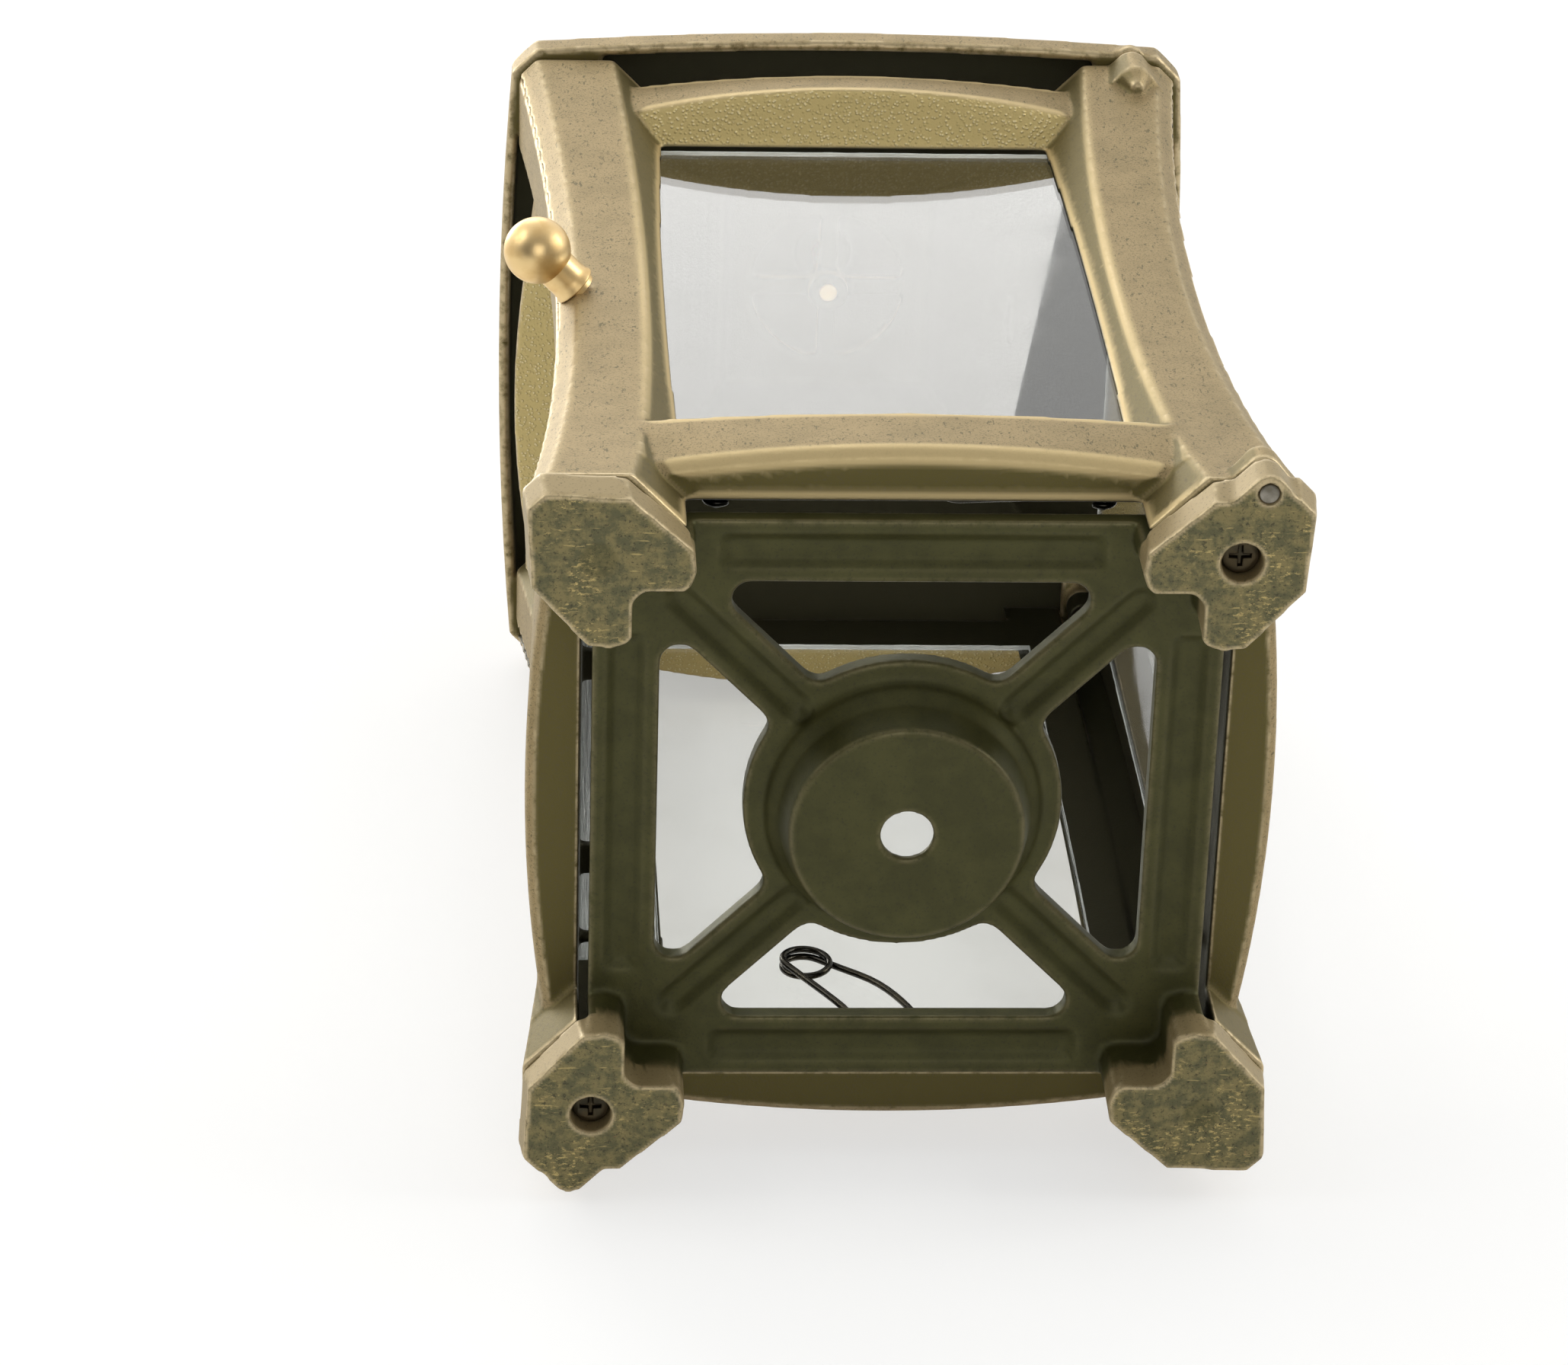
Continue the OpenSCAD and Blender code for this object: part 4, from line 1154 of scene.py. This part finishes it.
def underside_shade(places: np.ndarray, normals: np.ndarray) -> np.ndarray:
    """Mark painted shade on faces looking down, except near the top rail's facet.

    Args:
        places: Points in millimetres, one a row.
        normals: Their normals, one a row.

    Returns:
        One number for each point, from 0 to 1.
    """
    return ramp(-normals[:, 2], 0.8, 0.97) * ramp(-np.abs(places[:, 2] - 197.0), -5.0, -7.5)


def sole(places: np.ndarray, normals: np.ndarray) -> np.ndarray:
    """Mark the flat soles of the feet.

    Args:
        places: Points in millimetres, one a row.
        normals: Their normals, one a row.

    Returns:
        One number for each point, from 0 to 1.
    """
    return ramp(-places[:, 2], -0.45, -0.1) * ramp(-normals[:, 2], 0.5, 0.9)


def foot_side(places: np.ndarray, normals: np.ndarray) -> np.ndarray:
    """Mark the upright outer faces of the base and of its feet.

    Args:
        places: Points in millimetres, one a row.
        normals: Their normals, one a row.

    Returns:
        One number for each point, from 0 to 1.
    """
    outmost = ramp(np.maximum(np.abs(places[:, 0]), np.abs(places[:, 1])), 60.0, 61.5)
    low = ramp(-places[:, 2], -8.3, -7.6) * ramp(np.hypot(places[:, 0], places[:, 1]), 40.0, 42.0)
    return ramp(-np.abs(normals[:, 2]), -0.8, -0.5) * np.maximum(outmost, low)


def roof_inside_shade(places: np.ndarray, normals: np.ndarray) -> np.ndarray:
    """Mark painted shade on the faces of the roof and the cap that look down from above the rim.

    Args:
        places: Points in millimetres, one a row.
        normals: Their normals, one a row.

    Returns:
        One number for each point, from 0 to 1.
    """
    return ramp(-normals[:, 2], 0.1, 0.4) * ramp(places[:, 2], 220.6, 222.0)


def roof_underside_shade(places: np.ndarray, normals: np.ndarray) -> np.ndarray:
    """Mark painted shade on the faces of the roof and the cap that look straight down.

    Args:
        places: Points in millimetres, one a row.
        normals: Their normals, one a row.

    Returns:
        One number for each point, from 0 to 1.
    """
    return ramp(-normals[:, 2], 0.6, 0.9)


@dataclass
class Frames:
    """The four glazed castings: the door, the back and the two sides."""

    rounds: int = 10
    turns: dict[str, int] = field(default_factory=lambda: {"door": 0, "right": 1, "back": 2, "left": 3})

    def build(self, frame: dict) -> None:
        """Build and dress the four castings.

        Args:
            frame: The loaded frame.
        """
        material = BRONZE.material()
        for side, turn in self.turns.items():
            body = Body.DOOR if side == "door" else Body.LANTERN
            # the frames' masks: painted shade below, inside and on the slopes, the hammered facet painted
            # lighter, and the rails for the painted ridge highlight
            masks = {"hammered": hammered_facet(turn), "inside": inner_shade(turn), "under": underside_shade}
            masks.update(slope=window_slope(turn), rail=rails(turn))
            casting = Casting(f"{side}_casting", f"{side}_frame", body, Slot.BRONZE, rounds=self.rounds)
            # only the door gets the painted highlight along its ridges
            casting.ridge_highlights = side == "door"
            casting.masks = masks
            piece = casting.build(frame, material)
            log.info("%s: %d faces", piece.name, len(piece.data.polygons))


@dataclass
class Panes:
    """Four panes of sheet glass with rough cut edges, each with its spring clip."""

    half: float = 42.4 * MM
    seat: float = 58.2 * MM
    thick: float = 2.6 * MM
    bottom: float = 33.5 * MM
    top: float = 194.5 * MM
    chip: float = 0.14 * MM
    turns: dict[str, int] = field(default_factory=lambda: {"door": 0, "right": 1, "back": 2, "left": 3})

    def build(self, frame: dict) -> None:
        """Cut the panes and round and dress copies of their clips.

        Args:
            frame: The loaded frame.
        """
        glass, edge, wire = CLEAR.material(), CUT.material(), WIRE.material()
        for side, turn in self.turns.items():
            body = Body.DOOR if side == "door" else Body.LANTERN
            pane = self.cut(f"{side}_glass", turn)
            pane.data.materials.append(glass)
            pane.data.materials.append(edge)
            pane.visible_shadow = False
            join(pane, body, Slot.GLASS, f"{side}_pane")
            clip = Wire(f"{side}_spring", f"{side}_clip", body, Slot.SPRING_WIRE).build(frame, wire)
            for piece in (pane, clip):
                log.info("%s: %d faces", piece.name, len(piece.data.polygons))

    def cut(self, name: str, turn: int) -> bpy.types.Object:
        """Cut one pane, with its edge broken unevenly along each side.

        Args:
            name: Name of the pane.
            turn: Quarter turns of its frame about Z, counted from the front.

        Returns:
            The pane, in place.
        """
        deselect()
        middle = (0.0, -self.seat + self.thick / 2, (self.bottom + self.top) / 2)
        bpy.ops.mesh.primitive_cube_add(size=1.0, location=middle)
        pane = bpy.context.object
        pane.name = name
        pane.scale = (2 * self.half, self.thick, self.top - self.bottom)
        settle(pane)
        bpy.ops.object.mode_set(mode="EDIT")
        bpy.ops.mesh.select_all(action="SELECT")
        bpy.ops.mesh.inset(thickness=0.45 * MM, use_individual=True)
        bpy.ops.mesh.select_mode(type="FACE")
        bpy.ops.mesh.select_all(action="DESELECT")
        bpy.ops.object.mode_set(mode="OBJECT")
        rim = [self.is_rim(face.center) for face in pane.data.polygons]
        for face, on_rim in zip(pane.data.polygons, rim):
            face.select = on_rim
            face.material_index = 1 if on_rim else 0
        bpy.ops.object.mode_set(mode="EDIT")
        bpy.ops.mesh.subdivide(number_cuts=26)
        bpy.ops.transform.vertex_random(offset=self.chip, uniform=0.6, normal=0.0, seed=turn + 3)
        bpy.ops.object.mode_set(mode="OBJECT")
        pane.rotation_euler = (0.0, 0.0, turn * math.pi / 2)
        settle(pane)
        bpy.ops.object.shade_flat()
        return pane

    def is_rim(self, centre: Vector) -> bool:
        """Tell whether a face lies on the cut edge of the pane.

        Args:
            centre: Middle of the face, in metres.

        Returns:
            True for a face of the rim.
        """
        level = abs(centre.z - (self.bottom + self.top) / 2)
        return abs(centre.x) > self.half - 0.1 * MM or level > (self.top - self.bottom) / 2 - 0.1 * MM


@dataclass
class Knob:
    """Ball on a short flared stem, on the ridge of the door's left corner."""

    ridge: Point = (-58.70058 * MM, -62.50058 * MM, 109.0 * MM)
    ball: float = 6.4 * MM
    reach: float = 10.5 * MM
    stem: float = 3.9 * MM

    def build(self) -> None:
        """Turn the knob and set it square on its corner."""
        neck = self.stem * 1.02
        meet = math.degrees(math.acos(neck / self.ball))
        foot = [(-0.35, -0.9), (-0.3, 0.1), (0.25, 0.15), (0.42, 0.35), (0.4, 0.75), (0.12, 1.2), (0.02, 2.4)]
        profile = [(self.stem * 0.5, foot[0][1] * MM)]
        profile += [(self.stem + flare * MM, height * MM) for flare, height in foot]
        profile += [(neck, self.reach - self.ball * 0.8)]
        profile += arc(self.ball, self.reach, 3.0 - meet, 88.0, 28)
        knob = turned("knob_turned", profile, 96)
        knob.rotation_euler = (0.0, math.pi / 2, math.radians(225.0))
        knob.location = self.ridge
        settle(knob)
        knob.data.materials.append(GOLD.material())
        join(knob, Body.DOOR, Slot.GOLD_BRONZE, "door_knob")
        log.info("%s: %d faces", knob.name, len(knob.data.polygons))


@dataclass
class Castings:
    """The base and the roof, with what is cast for the roof."""

    def build(self, frame: dict) -> None:
        """Build and dress the base, the roof, the vent cap and the bail.

        Args:
            frame: The loaded frame.
        """
        base_masks = {"sole": sole, "outer": foot_side}
        # painted shade under and inside the roof and the cap
        roof_masks = {"inside": roof_inside_shade, "under": roof_underside_shade}
        base = Casting("base_casting", "base_frame", Body.LANTERN, Slot.DARK_BRONZE, masks=base_masks)
        bronze, dark = BRONZE.material(), DARK_BRONZE.material()
        roof = Casting("roof_casting", "roof_shell", Body.LANTERN, Slot.BRONZE, 0.65 * MM, masks=roof_masks)
        cap = Casting("cap_casting", "vent_cap", Body.LANTERN, Slot.BRONZE, 0.42 * MM, masks=roof_masks)
        bail = Casting("bail_casting", "bail", Body.BAIL, Slot.DARK_BRONZE, 0.4 * MM, 3)
        for casting, material in ((base, BASE.material()), (roof, bronze), (cap, bronze), (bail, dark)):
            piece = casting.build(frame, material)
            log.info("%s: %d faces", piece.name, len(piece.data.polygons))


@dataclass
class Fastenings:
    """Pins, screws, rivets, the catch and the finial."""

    def build(self, frame: dict) -> None:
        """Break the edges of the small turned parts and dress them.

        Args:
            frame: The loaded frame.
        """
        parts = {
            "lower_hinge_pin": (Body.LANTERN, Slot.STEEL), "upper_hinge_pin": (Body.LANTERN, Slot.STEEL),
            "back_dowels": (Body.LANTERN, Slot.STEEL), "back_screw": (Body.LANTERN, Slot.STEEL),
            "knob_screw": (Body.DOOR, Slot.STEEL), "strike_disc": (Body.DOOR, Slot.STEEL),
            "catch_magnet": (Body.LANTERN, Slot.MAGNET), "foot_screws": (Body.LANTERN, Slot.BLACK_SCREW),
            "roof_screws": (Body.LANTERN, Slot.BLACK_SCREW), "bail_rivets": (Body.LANTERN, Slot.DARK_BRONZE),
            "finial": (Body.LANTERN, Slot.GOLD_BRONZE),
        }
        finishes = {
            Slot.STEEL: STEEL.material(),
            Slot.MAGNET: NICKEL.material(),
            Slot.BLACK_SCREW: BLACK_STEEL.material(),
            Slot.DARK_BRONZE: DARK_STEEL.material(),
            Slot.GOLD_BRONZE: GOLD.material(),
        }
        for node, (body, slot) in parts.items():
            chamfer = 0.5 * MM if node == "lower_hinge_pin" else 0.2 * MM
            piece = Machined(f"{node}_finished", node, body, slot, chamfer).build(frame, finishes[slot])
            log.info("%s: %d faces", piece.name, len(piece.data.polygons))


def main() -> None:
    """Build the stage and the lantern."""
    logging.basicConfig(level=logging.INFO, format="%(message)s")
    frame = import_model()
    Camera().build()
    Stage().build()
    bpy.context.scene.view_settings.view_transform = "Standard"
    Frames().build(frame)
    Castings().build(frame)
    Panes().build(frame)
    Knob().build()
    Fastenings().build(frame)


if __name__ == "__main__":
    main()
